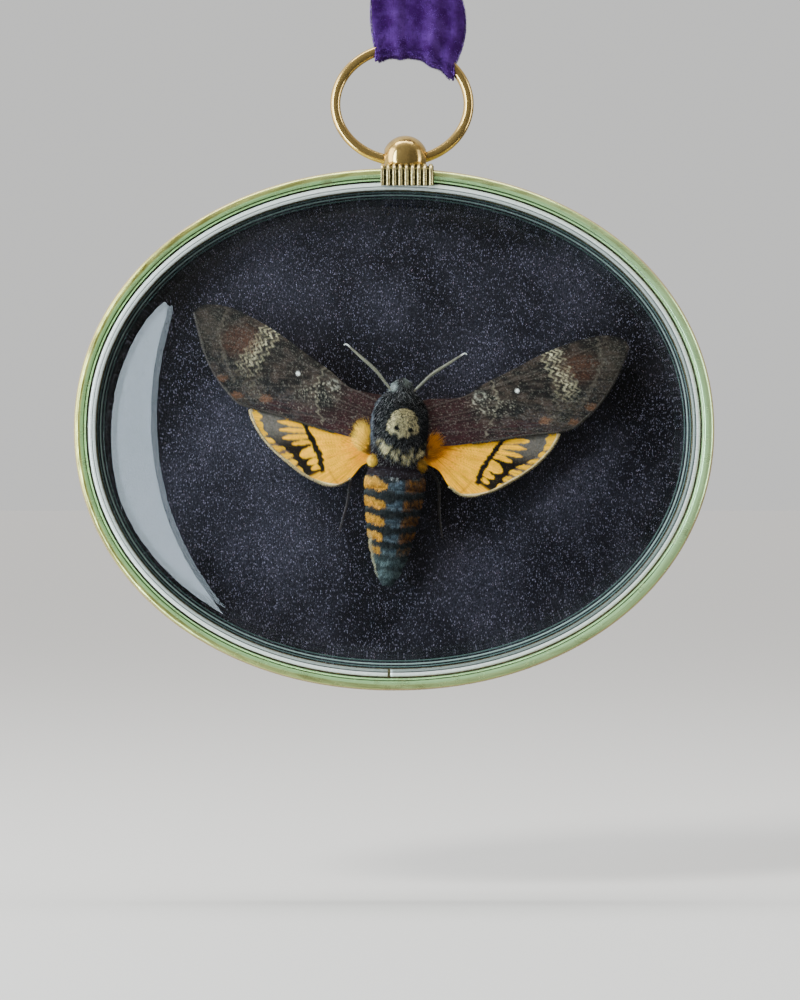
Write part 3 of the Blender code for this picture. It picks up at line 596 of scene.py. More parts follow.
def tarnish_group():
    """Old lacquered brass: cloudy tarnish, small dark pits and fine rubbed scratches."""
    found = bpy.data.node_groups.get("old_brass")
    if found:
        return found
    tree, given, wanted = new_group("old_brass", (
        ("Vector", "Vector", None), ("Clean", "Color", None), ("Tarnish", "Color", None),
        ("Cover", "Float", 0.5), ("Scale", "Float", 300.0), ("Gloss", "Float", 0.2)),
        (("Color", "Color"), ("Roughness", "Float"), ("Height", "Float")))
    clouds = node(tree, "TexNoise", {"Vector": given["Vector"], "Scale": given["Scale"], "Detail": 6.0,
                                     "Roughness": 0.65})
    wide = maths(tree, "ADD", clouds.outputs["Fac"], given["Cover"])
    cover = mapped(tree, wide, 0.82, 1.18)
    fine = node(tree, "VectorMath", {0: given["Vector"], 1: (2600.0, 2600.0, 2600.0)},
                operation="MULTIPLY")
    pits = node(tree, "TexVoronoi", {"Vector": fine.outputs[0], "Scale": 0.55})
    pit = mapped(tree, pits.outputs["Distance"], 0.05, 0.22, 1.0, 0.0)
    gate = maths(tree, "MULTIPLY", pit, cover)
    both = blend_colour(tree, cover, given["Clean"], given["Tarnish"])
    dark = blend_colour(tree, gate, both, (0.03, 0.025, 0.015))
    scratch_place = node(tree, "Mapping", {"Vector": given["Vector"], "Scale": (900.0, 900.0, 9000.0),
                                           "Rotation": (0.5, 0.7, 0.4)})
    scratches = node(tree, "TexNoise", {"Vector": scratch_place.outputs[0], "Scale": 1.0, "Detail": 2.0})
    rub = mapped(tree, scratches.outputs["Fac"], 0.35, 0.75, 0.0, 0.1)
    worn = maths(tree, "MULTIPLY_ADD", cover, 0.22, given["Gloss"])
    rough = maths(tree, "ADD", worn, rub)
    height = maths(tree, "SUBTRACT", scratches.outputs["Fac"], gate)
    give(tree, wanted, Color=dark, Roughness=rough, Height=height)
    return tree


def pile_group():
    """Velvet pile: soft brushed patches, streaks along the nap, and painted glints on the ends of single
    fibres.
    """
    found = bpy.data.node_groups.get("velvet_pile")
    if found:
        return found
    tree, given, wanted = new_group("velvet_pile", (
        ("Vector", "Vector", None), ("Deep", "Color", None), ("Light", "Color", None),
        ("Patch Scale", "Float", 60.0), ("Nap Scale", "Float", 1500.0), ("Sparkle", "Float", 0.6)),
        (("Color", "Color"), ("Height", "Float")))
    patches = node(tree, "TexNoise", {"Vector": given["Vector"], "Scale": given["Patch Scale"],
                                      "Detail": 3.0})
    streak_place = node(tree, "Mapping", {"Vector": given["Vector"], "Scale": (1.0, 1.0, 0.5)})
    streaks = node(tree, "TexNoise", {"Vector": streak_place.outputs[0], "Scale": given["Nap Scale"],
                                      "Detail": 2.0, "Roughness": 0.7})
    ends = node(tree, "TexVoronoi", {"Vector": streak_place.outputs[0], "Scale": given["Nap Scale"]})
    spark = mapped(tree, ends.outputs["Distance"], 0.12, 0.42, 1.0, 0.0)
    chance = node(tree, "SeparateColor", {"Color": ends.outputs["Color"]})
    drawn = maths(tree, "POWER", chance.outputs[0], 2.2)
    shown = maths(tree, "MULTIPLY", spark, drawn)
    lit = maths(tree, "MULTIPLY", shown, given["Sparkle"])
    soft = mapped(tree, patches.outputs["Fac"], 0.4, 0.72, 0.0, 0.2)
    lined = mapped(tree, streaks.outputs["Fac"], 0.38, 0.7, 0.15, 1.0)
    nap = maths(tree, "MULTIPLY", soft, lined)
    total = maths(tree, "ADD", nap, lit, clamp=True)
    colour = blend_colour(tree, total, given["Deep"], given["Light"])
    give(tree, wanted, Color=colour, Height=streaks.outputs["Fac"])
    return tree


def grain_group():
    """Scale dust on a wing or hair: fine speckle laid over a painted colour."""
    found = bpy.data.node_groups.get("scale_dust")
    if found:
        return found
    tree, given, wanted = new_group("scale_dust", (
        ("Vector", "Vector", None), ("Base", "Color", None), ("Dust", "Color", None),
        ("Scale", "Float", 3500.0), ("Amount", "Float", 0.4), ("Contrast", "Float", 0.6)),
        (("Color", "Color"), ("Height", "Float")))
    cells = node(tree, "TexVoronoi", {"Vector": given["Vector"], "Scale": given["Scale"]})
    tone = node(tree, "SeparateColor", {"Color": cells.outputs["Color"]})
    bright = mapped(tree, tone.outputs[0], 0.0, 1.0, 0.55, 1.5)
    varied = blend_colour(tree, given["Contrast"], given["Base"], bright, how="MULTIPLY")
    pale = mapped(tree, tone.outputs[1], 0.86, 0.93)
    dusted = maths(tree, "MULTIPLY", pale, given["Amount"])
    colour = blend_colour(tree, dusted, varied, given["Dust"])
    give(tree, wanted, Color=colour, Height=cells.outputs["Distance"])
    return tree


def plain_material(name, **values):
    """A material whose Principled shader has these values on its own sockets."""
    made = bpy.data.materials.get(name)
    if made:
        return made, None, None
    made = bpy.data.materials.new(name)
    made.use_nodes = True
    shader = made.node_tree.nodes["Principled BSDF"]
    for key, value in values.items():
        shader.inputs[key.replace("_", " ")].default_value = value
    return made, made.node_tree, shader


def rgba(colour):
    """A colour with full alpha."""
    return (*colour, 1.0)


def bump(tree, height, shader, strength, distance):
    """Fine relief on the shader's normal."""
    made = node(tree, "Bump", {"Height": height, "Strength": strength, "Distance": distance})
    tree.links.new(made.outputs[0], shader.inputs["Normal"])


def brass_finish(name, clean, tarnish, cover, gloss, scale=300.0, painted=False, metallic=0.9):
    """Brass whose clean colour is plain, or painted on the piece."""
    made, tree, shader = plain_material(name, Metallic=metallic)
    if tree is None:
        return made
    place = node(tree, "TexCoord").outputs["Object"]
    base = node(tree, "Attribute", attribute_name="Colour").outputs["Color"] if painted else rgba(clean)
    worn = node(tree, "Group", {"Vector": place, "Clean": base, "Tarnish": rgba(tarnish), "Cover": cover,
                                "Scale": scale, "Gloss": gloss}, node_tree=tarnish_group())
    tree.links.new(worn.outputs["Color"], shader.inputs["Base Color"])
    tree.links.new(worn.outputs["Roughness"], shader.inputs["Roughness"])
    bump(tree, worn.outputs["Height"], shader, 0.02, 0.00005)
    return made


def velvet_finish(name, deep, light, patch_scale, nap_scale, sparkle, sheen, painted=False):
    """Pile fabric: the nap's colours, with sheen at grazing angles; its deep colour may be painted on."""
    made, tree, shader = plain_material(name, Roughness=0.9, Sheen_Weight=sheen, Sheen_Roughness=0.35,
                                        Specular_IOR_Level=0.15, Sheen_Tint=rgba(light))
    if tree is None:
        return made
    place = node(tree, "TexCoord").outputs["Object"]
    base = node(tree, "Attribute", attribute_name="Colour").outputs["Color"] if painted else rgba(deep)
    pile = node(tree, "Group", {"Vector": place, "Deep": base, "Light": rgba(light),
                                "Patch Scale": patch_scale, "Nap Scale": nap_scale, "Sparkle": sparkle},
                node_tree=pile_group())
    tree.links.new(pile.outputs["Color"], shader.inputs["Base Color"])
    bump(tree, pile.outputs["Height"], shader, 0.6, 0.0002)
    return made


def painted_finish(name, dust, scale, dusting, roughness=0.75, contrast=0.6, shine=0.2, relief=0.25):
    """A finish whose colour is painted on the piece, with fine speckle."""
    made, tree, shader = plain_material(name, Roughness=roughness, Specular_IOR_Level=shine)
    if tree is None:
        return made
    place = node(tree, "TexCoord").outputs["Object"]
    paint = node(tree, "Attribute", attribute_name="Colour").outputs["Color"]
    grain = node(tree, "Group", {"Vector": place, "Base": paint, "Dust": rgba(dust), "Scale": scale,
                                 "Amount": dusting, "Contrast": contrast}, node_tree=grain_group())
    tree.links.new(grain.outputs["Color"], shader.inputs["Base Color"])
    bump(tree, grain.outputs["Height"], shader, relief, 0.00004)
    return made


def hair_finish():
    """Dull hair, painted on the piece."""
    return painted_finish("moth_hair", linear("8b93a6"), scale=6000.0, dusting=0.05, roughness=0.8,
                          shine=0.08)


def ribbon_finish(name, ribbon, painted=False):
    """The ribbon's violet velvet."""
    return velvet_finish(name, ribbon.deep, ribbon.deep * 2, patch_scale=210.0, nap_scale=2600.0, sparkle=0.1,
                         sheen=0.0, painted=painted)


def glass_finish():
    """Clear glass that lets light through to what is behind it."""
    made, tree, shader = plain_material("dome_glass", Roughness=0.0, IOR=1.3, Transmission_Weight=1.0,
                                        Base_Color=(0.97, 0.99, 0.98, 1.0))
    if tree is None:
        return made
    through = node(tree, "BsdfTransparent", {"Color": (0.94, 0.96, 0.95, 1.0)})
    rays = node(tree, "LightPath")
    mixed = node(tree, "MixShader", {0: rays.outputs["Is Shadow Ray"], 1: shader.outputs[0],
                                     2: through.outputs[0]})
    tree.links.new(mixed.outputs[0], tree.nodes["Material Output"].inputs["Surface"])
    return made


def card_finish(name, colour):
    """Brown card: pressed fibres and faint stains."""
    made, tree, shader = plain_material(name, Roughness=0.9, Specular_IOR_Level=0.2)
    if tree is None:
        return made
    place = node(tree, "TexCoord").outputs["Object"]
    stains = node(tree, "TexNoise", {"Vector": place, "Scale": 45.0, "Detail": 6.0, "Roughness": 0.6})
    long = node(tree, "Mapping", {"Vector": place, "Scale": (700.0, 700.0, 2600.0)})
    fibres = node(tree, "TexNoise", {"Vector": long.outputs[0], "Scale": 1.0, "Detail": 3.0})
    toned = ramp(tree, stains.outputs["Fac"], ((0.3, colour * 0.6), (0.55, colour), (0.8, colour * 1.25)))
    flecked = ramp(tree, fibres.outputs["Fac"], ((0.35, 0.7), (0.65, 1.15)))
    colours = blend_colour(tree, 1.0, toned, flecked, how="MULTIPLY")
    tree.links.new(colours, shader.inputs["Base Color"])
    bump(tree, fibres.outputs["Fac"], shader, 0.35, 0.0001)
    return made


def rim_colours(profile, count, case):
    """Clean colour round the rim: tan at the outer edge, patina over the bead, a painted mint highlight
    inside it that is strongest below the right, a thin dark line on the bead's inner slope and painted shade
    over the inner wall.

    Insets are in bead radii. The noise is read round a circle, so that it meets itself.
    """
    angle = turns(count)[:, None]
    inset = profile[None, :, 0] / case.bead_radius
    right, up = np.cos(angle), np.sin(angle)
    all_round = np.ones((count, 1))
    front = inside(-profile[None, :, 1], -LEDGE_HEIGHTS[1], 1.0 * MM)
    wave = cloud(right * 9 + inset * 3, up * 9, seed=3)
    lines = cloud(right * 4 + inset * 17, up * 4 + inset * 9, seed=17)
    # Painted highlight, strongest below the right; the patina blotches show less there
    highlight_side = 0.5 + 0.5 * np.cos(angle + HIGHLIGHT_TURN)
    dull = 0.16 + 0.84 * (1 - highlight_side)
    blotch = np.clip(0.6 + 0.9 * cloud(right * 24 + inset * 2, up * 24, seed=13), 0.15, 1) * dull
    colours = lay(one_colour((count, len(profile)), case.brass),
                  # Mint over the inner part of the bead, brighter below the right: painted highlight
                  ("b8f29c", front * inside(-inset, -1.0, 0.3)),
                  ("c6f5b2", front * inside(-inset, -0.3, 0.3) * highlight_side * 0.9),
                  (case.patina, front * inside(np.abs(inset - 0.68), 0.34 + 0.16 * wave, 0.2) * blotch))
    return lay(colours * (1 + 0.35 * lines * front)[..., None],
               # A thin dark line on the bead's inner slope, then painted shade over the inner wall behind the
               # lip
               ("0d120a", front * inside(np.abs(inset - 1.6), 0.09, 0.08) * 0.95),
               ("12170f", inside(-inset, -1.93, 0.05) * all_round),
               (case.tan, 1 - front * all_round),
               (case.tan, front * inside(inset, 0.26 + 0.12 * wave, 0.12)))


def lip_colours(profile, angle, case):
    """The lip is bright outside its groove; painted shade makes it greyer inside it and dark in the groove,
    most of all at the lower right.
    """
    across = (profile[None, :, 0] - SEAT_INSET) / LIP_WIDTH
    low_right = 0.5 + 0.5 * np.cos(angle[:, None] + SHADE_TURN)
    return lay(one_colour((len(angle), len(profile)), case.lip),
               # Painted shade: grey over the inner part and dark in the groove, most at the lower right
               ("5d706c", inside(-across, -0.6, 0.05) * (0.3 + 0.6 * low_right)),
               ("18201e", inside(np.abs(across - 0.6), 0.07, 0.05) * (0.6 + 0.35 * low_right)))


def make_rim(case):
    """The rim: a rounded front bead, a plain side and the inner ledge, carried round the oval."""
    back = -RIM_FRONT
    waist, soft = 0.5 * MM, 0.15 * MM
    bead, below = case.bead_radius * 0.98, RIM_FRONT - 2 * case.bead_radius
    profile = rounded((
        (waist, back, 0.6 * MM), (waist, below, 0.4 * MM), (0.0, below + 0.1 * case.bead_radius, 0.35 * MM),
        (0.0, RIM_FRONT, bead), (WALL_INSET, RIM_FRONT, bead), (WALL_INSET, LEDGE_HEIGHTS[1], soft),
        (LEDGE_INSET, LEDGE_HEIGHTS[1], soft), (LEDGE_INSET, LEDGE_HEIGHTS[0], soft),
        (WALL_INSET, LEDGE_HEIGHTS[0], soft), (WALL_INSET, back, 0.5 * MM)), steps=20)
    count = 360
    angle = turns(count)
    points = from_case(carried(profile, angle))
    finish = brass_finish("rim_brass", case.brass, tarnish=(0.22, 0.21, 0.09), cover=0.3, gloss=0.18,
                          painted=True, metallic=0.66)
    piece("oval_rim", points, grid(points, True, True), "case", finish,
          colours=rim_colours(profile, count, case), replaced=("rim",))


def make_lip(case):
    """The split ring on the glass: its section carried round the oval between the two sides of the split."""
    back, front = heights("glass_retaining_ring")
    outer, inner, groove = SEAT_INSET, SEAT_INSET + LIP_WIDTH, SEAT_INSET + LIP_GROOVE
    profile = rounded(((outer, back, LIP_EDGE), (outer, front, case.lip_rounding),
                       (groove - GROOVE_HALF, front, LIP_EDGE), (groove, front - GROOVE_DEPTH, 0.04 * MM),
                       (groove + GROOVE_HALF, front, LIP_EDGE), (inner, front, case.lip_rounding / 2),
                       (inner, back, LIP_EDGE)), steps=10)
    split = LIP_SPLIT_HALF / RIM_HALF[0]
    start = math.asin(LIP_SPLIT_X / RIM_HALF[0]) - math.pi / 2
    count = 640
    angle = start + np.linspace(split, 2 * np.pi - split, count)
    points = from_case(carried(profile, angle))
    ends = np.arange(len(profile))
    caps = np.stack([ends[::-1], ends + (count - 1) * len(profile)])
    finish = brass_finish("lip_metal", case.lip, tarnish=(0.5, 0.56, 0.42), cover=0.12, gloss=0.26,
                          scale=500.0, painted=True, metallic=0.3)
    piece("glass_lip", points, [grid(points, False, True), caps], "case", finish,
          colours=lip_colours(profile, angle, case), replaced=("glass_retaining_ring",))


def dome_height(share):
    """Rise of the dome at a share of its half width: a cap of a sphere, 1 in the middle, 0 at the edge."""
    low = math.sqrt(DOME_RADIUS_RATIO**2 - 1)
    return (np.sqrt(DOME_RADIUS_RATIO**2 - share**2) - low) / (DOME_RADIUS_RATIO - low)


def make_glass():
    """The glass: over each angle, a line from the dome's middle out over the bevelled flange and back.

    Inside the flange a point is share * edge, at the dome's height; outside it is inset from the oval.
    """
    back, front = heights("glass_dome")
    flange = back + GLASS_THICKNESS
    rise = front - flange
    count, rings = 256, 40
    angle = turns(count)
    share = np.sin(np.linspace(0, np.pi / 2, rings))
    edge = oval(FLANGE_INSET, angle)
    dome = edge[:, None] * share[None, :, None]
    inner = edge[:, None] * (share * UNDERSIDE_SHARE)[None, :, None]
    lift = np.broadcast_to((flange + rise * dome_height(share))[None, :, None], (count, rings, 1))
    brim = carried(np.array(BRIM_PROFILE) * MM + (0.0, flange), angle)
    upper = np.concatenate([dome, lift], axis=-1)
    lower = np.concatenate([inner, lift - GLASS_THICKNESS], axis=-1)
    points = from_case(np.concatenate([upper, brim, lower[:, ::-1]], axis=1))
    piece("domed_glass", points, grid(points, True, False), "case",
          glass_finish(), replaced=("glass_dome",), welded=True)


def make_bevels():
    """Thin frosted bevels on the glass flange: a round section carried round the oval at each inset, with a
    painted highlight that is brightest below the right.
    """
    flange = heights("glass_dome")[0] + GLASS_THICKNESS
    count, sides = 480, 10
    angle = turns(count)
    # Painted highlight, brightest below the right
    bright = 0.3 + 0.7 * (0.5 + 0.5 * np.cos(angle + SHADE_TURN))**2
    finish = painted_finish("bevel_glass", linear("d8f0ea"), scale=3000.0, dusting=0.05, roughness=0.25,
                            contrast=0.2, shine=0.5)
    for number, (inset, radius, tone) in enumerate(BEVELS, start=1):
        path = from_case(carried(np.array([(inset, -radius / 2)]) * MM + (0.0, flange), angle)[:, 0])
        points = tube(path, radius * MM, sides, up=(0, 1, 0), closed=True)
        colours = linear(tone) * bright[:, None, None] * np.ones((1, sides, 1))
        piece(f"glass_bevel_{number}", points, grid(points, True, True), "case", finish,
              colours=colours)


def make_ground(ground):
    """The velvet card: over each angle, a line from its front's middle to its edge and round to the back."""
    back, front = heights("velvet_backing")
    count, rings = 300, 90
    angle = turns(count)
    share = np.linspace(0, 1, rings)
    edge = oval(GROUND_INSET, angle)
    face = edge[:, None] * share[None, :, None]
    swell = GROUND_SWELL * cloud(face[..., 0] * 90, face[..., 1] * 90, seed=5)
    upper = np.concatenate([face, (front - GROUND_SWELL + swell)[..., None]], axis=-1)
    under = np.concatenate([face[:, ::-22], np.full((count, len(share[::-22]), 1), back)], axis=-1)
    points = from_case(np.concatenate([upper, under], axis=1))
    glint = np.array(ground.light) * 2.5
    finish = velvet_finish("ground_velvet", ground.deep, glint, patch_scale=45.0, nap_scale=3000.0,
                           sparkle=1.0, sheen=0.03)
    piece("velvet_ground", points, grid(points, True, False), "case", finish,
          replaced=("velvet_backing",), welded=True)


def make_pile(ground):
    """Loose fibre ends over the ground: needles that lie down the cloth, thicker in brushed patches, with
    painted glints on some fibres and painted light towards the top.
    """
    rng = np.random.default_rng(GROUND_SEED)
    count = ground.fibres
    _, front = heights("velvet_backing")
    angle = rng.uniform(0, 2 * np.pi, count)
    flat = oval(PILE_INSET, angle) * np.sqrt(rng.random(count))[:, None]
    roots = np.column_stack([flat, np.full(count, front - 0.1 * MM)])
    brushed = cloud(flat[:, 0] * 45, flat[:, 1] * 45, seed=8)
    ways = joined(rng.normal(0, 0.6, count), -0.7 + 0.5 * brushed, rng.uniform(0.1, 0.9, count))
    lengths = ground.fibre_length * rng.uniform(0.5, 1.4, count)
    points, faces = needles(roots, ways, lengths, rng.uniform(0.04, 0.075, count) * MM)
    # Painted light: the fibres are brighter towards the top of the ground
    high = inside(-flat[:, 1], -10 * MM, 60 * MM)
    # Painted glints: some fibres are much brighter, more of them in brushed patches
    bright = (rng.random(count) < 0.3 + 0.2 * brushed) * rng.uniform(1.0, 7.0, count)
    lit = (0.08 * rng.random(count) + (0.7 + 0.5 * high) * bright)[:, None]
    tint = np.array(ground.deep) + (np.array(ground.light) - np.array(ground.deep)) * lit
    tint *= np.where(rng.random((count, 1)) < 0.2, (1.3, 1.0, 0.9), (0.95, 1.0, 1.1))
    finish = painted_finish("pile_fibre", (0.4, 0.42, 0.5), scale=5000.0, dusting=0.1, roughness=0.5)
    piece("velvet_pile", from_case(points), faces, "case", finish,
          colours=root_to_tip(tint))


def dress_back(case):
    """The card and its brass points keep the solid model's shapes."""
    card = card_finish("back_card", np.array(case.board))
    metal = brass_finish("point_brass", case.tan, tarnish=(0.2, 0.17, 0.08), cover=0.4, gloss=0.25)
    for name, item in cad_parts.items():
        if name == "back_board" or name.startswith("back_point"):
            item.data.materials.clear()
            item.data.materials.append(card if name == "back_board" else metal)


def ring_facts():
    """Middle of the wire ring, half sizes of its ellipse and the wire's radius."""
    low, high = box_corners("hanging_ring")
    radius = (high - low)[1] / 2
    return (low + high) / 2, (high - low) / 2 - radius, radius


def make_ring(ring):
    """The wire ring: a round section carried round an upright ellipse."""
    middle, half, radius = ring_facts()
    count, sides = 240, 28
    t = turns(count)
    path = middle + joined(half[0] * np.cos(t), 0 * t, half[2] * np.sin(t))
    radii = radius * (WIRE_SHARE + 0.008 * noise(np.cos(t) * 3, np.sin(t) * 3, 2))
    points = tube(path, radii, sides, up=(0, 1, 0), closed=True)
    finish = brass_finish("ring_brass", ring.brass, ring.tarnish, cover=0.22, gloss=0.12, scale=160.0)
    piece("wire_ring", points, grid(points, True, True), "hanger", finish,
          replaced=("hanging_ring",))


def ball_facts():
    """The ball's middle and radius in the row frame, and its flat's height."""
    low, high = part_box("ring_bead")
    radius = (high.y - low.y) / 2
    return np.array([(low.x + high.x) / 2, (low.y + high.y) / 2, high.z - radius]), radius, low.z


def make_ball(ring):
    """The bored ball, turned about the bore: a sphere's arc from mouth to mouth, and back along the bore."""
    middle, radius, flat_z = ball_facts()
    mouth = math.asin((BORE_RADIUS + MOUTH_WIDENING) / radius)
    a = np.linspace(mouth, np.pi - mouth, 64)
    outside = joined(-radius * np.cos(a), radius * np.sin(a))
    reach = radius * math.cos(mouth) - 0.3 * MM
    within = joined(np.linspace(reach, -reach, 16), BORE_RADIUS)
    profile = np.concatenate([outside, within])
    t = turns(96)[:, None]
    dent = 1 + 0.004 * noise(t * 3, profile[None, :, 0] / MM, 4)
    along, out = profile[None, :, 0], profile[None, :, 1]
    points = middle + joined(along, out * np.cos(t) * dent, out * np.sin(t) * dent)
    points[..., 2] = np.maximum(points[..., 2], flat_z + 0.1 * MM)
    finish = brass_finish("ball_brass", ring.brass, ring.tarnish, cover=0.36, gloss=0.1, scale=200.0)
    piece("bored_ball", points, grid(points, True, True), "case", finish,
          replaced=("ring_bead",))


def make_saddle(ring, case):
    """The saddle: a line over the rim's bead and down its front, thickened outwards and ribbed across.

    A point is the line's point plus its normal times the strap's thickness and the ribs' half rounds. Its
    colour is a painted highlight on each rib's crest and painted shade between the ribs.
    """
    low, high = box_corners("ribbed_saddle")
    middle, radius, _ = ball_facts()
    bend = case.bead_radius + STRAP_THICKNESS
    centre = np.array([RIM_FRONT - case.bead_radius, RIM_HALF[1] - case.bead_radius])
    top_run = centre[0] - (CASE_MIDDLE[1] + STRAP_TOP_Y)
    skirt = centre[1] - (low[2] - CASE_MIDDLE[2]) - 0.1 * MM
    whole = top_run + bend * np.pi / 2 + skirt
    columns, rows = 220, 60
    x = np.linspace(low[0] + 0.05 * MM, high[0] - 0.05 * MM, columns) - CASE_MIDDLE[0]

    def strap(run, out):
        """Forward and up of the strap at a run along its line, and a distance out from it."""
        turn = np.clip((run - top_run) / bend, 0, np.pi / 2)
        over = np.minimum(run - top_run, 0)
        down = np.maximum(run - top_run - bend * np.pi / 2, 0)
        reach = bend + out
        return centre[0] + over + reach * np.sin(turn), centre[1] + reach * np.cos(turn) - down

    run = np.linspace(0, whole, 400)[:, None]
    forward, up = strap(run, STRAP_THICKNESS)
    ball_x, ball_up = middle[0] - CASE_MIDDLE[0], middle[2] - CASE_MIDDLE[2]
    ball_forward = CASE_MIDDLE[1] - middle[1]
    away = np.sqrt((x[None] - ball_x)**2 + (forward - ball_forward)**2 + (up - ball_up)**2)
    start = np.max(np.where(away < radius + STRAP_CLEARANCE, run, 0), axis=0)
    first = low[0] - CASE_MIDDLE[0] + STRAP_THICKNESS
    beside = (x - first + ring.rib_pitch / 2) % ring.rib_pitch - ring.rib_pitch / 2
    rib = np.sqrt(np.clip(1 - (beside / (RIB_SHARE * ring.rib_pitch))**2, 0, 1))
    rib *= inside(x, first + (ring.ribs - 0.5) * ring.rib_pitch, 0.01 * MM)
    share = np.concatenate([[0.0, 0.0], np.linspace(0.02, 0.98, rows), [1.0, 1.0]])
    solid = np.concatenate([[0, 0.6], np.ones(rows), [0.6, 0]])
    run = start[None] + share[:, None] * (whole - start[None])
    out = solid[:, None] * (STRAP_THICKNESS + ring.rib_height * rib[None])
    outer = joined(x, *strap(run, out)[::-1])
    within = joined(x, *strap(run, 0 * out)[::-1])
    points = from_case(np.concatenate([outer, within[:, ::-1]], axis=1))
    worn = 0.85 + 0.2 * noise(x[None] / MM * 3, share[:, None] * 9, 3)
    # Painted highlight on the rib crests and painted shade in the grooves, with a random worn tone
    tone = blend_tones(linear("4f4a24"), linear("fbe7a4"), (rib**2)[None])
    tone = tone * np.ones((len(share), 1, 1)) * worn[..., None]
    finish = brass_finish("saddle_brass", case.brass, tarnish=(0.16, 0.14, 0.05), cover=0.3, gloss=0.24,
                          scale=500.0, painted=True)
    piece("saddle_strap", points, grid(points, False, True), "case", finish,
          colours=np.concatenate([tone, tone[:, ::-1]], axis=1), replaced=("ribbed_saddle",), welded=True)


def ribbon_route(across, along):
    """The ribbon's middle surface, from the front strand's top, under the ring's wire, to the back's top.

    Across is from 0 to 1. Near the middle of its length it goes round the wire, whose height at each x is
    the ellipse's; above, each strand narrows to the top on a quadratic curve.
    """
    middle, half, wire = ring_facts()
    ring_x, _, ring_z = middle - CASE_MIDDLE
    fold_x = RIBBON_FOLD_X[0] + across * (RIBBON_FOLD_X[1] - RIBBON_FOLD_X[0])
    ratio = (fold_x - ring_x) / half[0]
    fall = np.sqrt(1 - ratio**2)
    slope = half[2] * ratio / half[0] / fall
    wire_z = ring_z + half[2] * fall
    wrap = wire + RIBBON_GAP + RIBBON_HALF_THICKNESS
    side = np.where(along < 0.5, -1.0, 1.0)
    rise = np.abs(2 * along - 1)
    angle = np.minimum(rise / RIBBON_BEND_SHARE, 1) * np.pi / 2
    share = np.maximum((rise - RIBBON_BEND_SHARE) / (1 - RIBBON_BEND_SHARE), 0)
    middle_x = RIBBON_MIDDLE_X[0] + across * (RIBBON_MIDDLE_X[1] - RIBBON_MIDDLE_X[0])
    top_x = EYE_X + (2 * across - 1) * RIBBON_TOP_HALF_WIDTH
    pull_x = 2 * middle_x - (fold_x + top_x) / 2
    x = (1 - share)**2 * fold_x + 2 * share * (1 - share) * pull_x + share**2 * top_x
    y = side * (wrap * np.sin(angle) + share * (STRAND_TOP_OFFSET - wrap))
    z = wire_z - wrap * np.cos(angle) * np.sqrt(1 + slope**2) + share * (RIBBON_TOP_Z - wire_z)
    return joined(CASE_MIDDLE[0] + x, y, CASE_MIDDLE[2] + z)


def make_ribbon(ribbon):
    """The velvet ribbon: its route, pushed in and out by soft folds, with half its thickness to each side.
    Its colour is lighter on the fold ridges, a painted highlight.
    """
    columns, rows = 90, 260
    across = np.broadcast_to(np.linspace(0, 1, columns)[None, :], (rows, columns))
    along = np.broadcast_to(np.linspace(0, 1, rows)[:, None], (rows, columns))
    route = ribbon_route(across, along)
    rise = np.abs(2 * along - 1)
    lean = across + 0.07 * np.sin(rise * 3.0)
    folds = sum(height * np.exp(-((lean - middle) / width)**2) for middle, width, height in RIBBON_RIDGES)
    folds = folds * (0.35 + 0.65 * inside(rise, 0.62, 0.6)) + 0.18 * cloud(across * 5, along * 16, seed=9)
    ahead = np.gradient(route, axis=0)
    sideways = np.gradient(route, axis=1)
    outwards = unit(np.cross(ahead, sideways))
    outwards *= np.sign(outwards[rows // 8, columns // 2, 1]) * -1.0
    loose = 0.35 + 0.65 * inside(-rise, -0.16, 0.2) * inside(rise, 0.97, 0.1)
    route = route + outwards * (loose * ribbon.pleat * folds)[..., None]
    route += outwards * (CRUMPLE_DEPTH * cloud(across * 14, along * 50, seed=6))[..., None]
    half = ribbon.thickness / 2 * np.sqrt(np.clip(1 - (2 * across - 1)**8, 0, 1))
    half = half * np.where((along == 0) | (along == 1), 0.0, 1.0)
    outer = route + outwards * half[..., None]
    within = route - outwards * half[..., None]
    points = np.concatenate([outer, within[:, ::-1]], axis=1)
    finish = ribbon_finish("hung_velvet", ribbon, painted=True)
    # Lighter on the fold ridges, a painted highlight, and patchy like crushed velvet
    paint = np.clip(0.03 + 0.09 * folds + 0.2 * cloud(across * 6, along * 26, seed=12), 0, 1)
    paint = np.concatenate([paint, paint[:, ::-1]], axis=1)
    colours = blend_tones(np.array(ribbon.deep), np.array(ribbon.light), paint)
    cloth = piece("ribbon_cloth", points, grid(points, False, True), "hanger",
                  finish, colours=colours, replaced=("hanging_ribbon",), welded=True)
    return cloth, route, outwards, folds


def make_eye(ribbon):
    """The sewn tab at the ribbon's top: over each angle, a rounded section from the eye to the tab's edge."""
    t, a = turns(120), turns(36)
    outer = joined(EYE_TAB_RADIUS * np.cos(t), EYE_TAB_RADIUS * np.sin(t))
    outer[:, 0] *= TAB_WIDTH_SHARE
    outer[:, 1] -= TAB_SQUARING * np.clip(-np.sin(t), 0, 1)**2
    inner = EYE_RADIUS * joined(np.cos(t), np.sin(t))
    swell = np.sign(np.cos(a)) * np.abs(np.cos(a))**0.6
    share = 0.5 - 0.5 * swell
    flat = inner[:, None] + share[None, :, None] * (outer - inner)[:, None]
    depth = TAB_HALF_THICKNESS * np.sign(np.sin(a)) * np.abs(np.sin(a))**0.5
    points = joined(CASE_MIDDLE[0] + EYE_X + flat[..., 0], depth, CASE_MIDDLE[2] + EYE_Z + flat[..., 1])
    piece("ribbon_eye_tab", points, grid(points, True, True), "hanger",
          ribbon_finish("tab_velvet", ribbon))
    return points


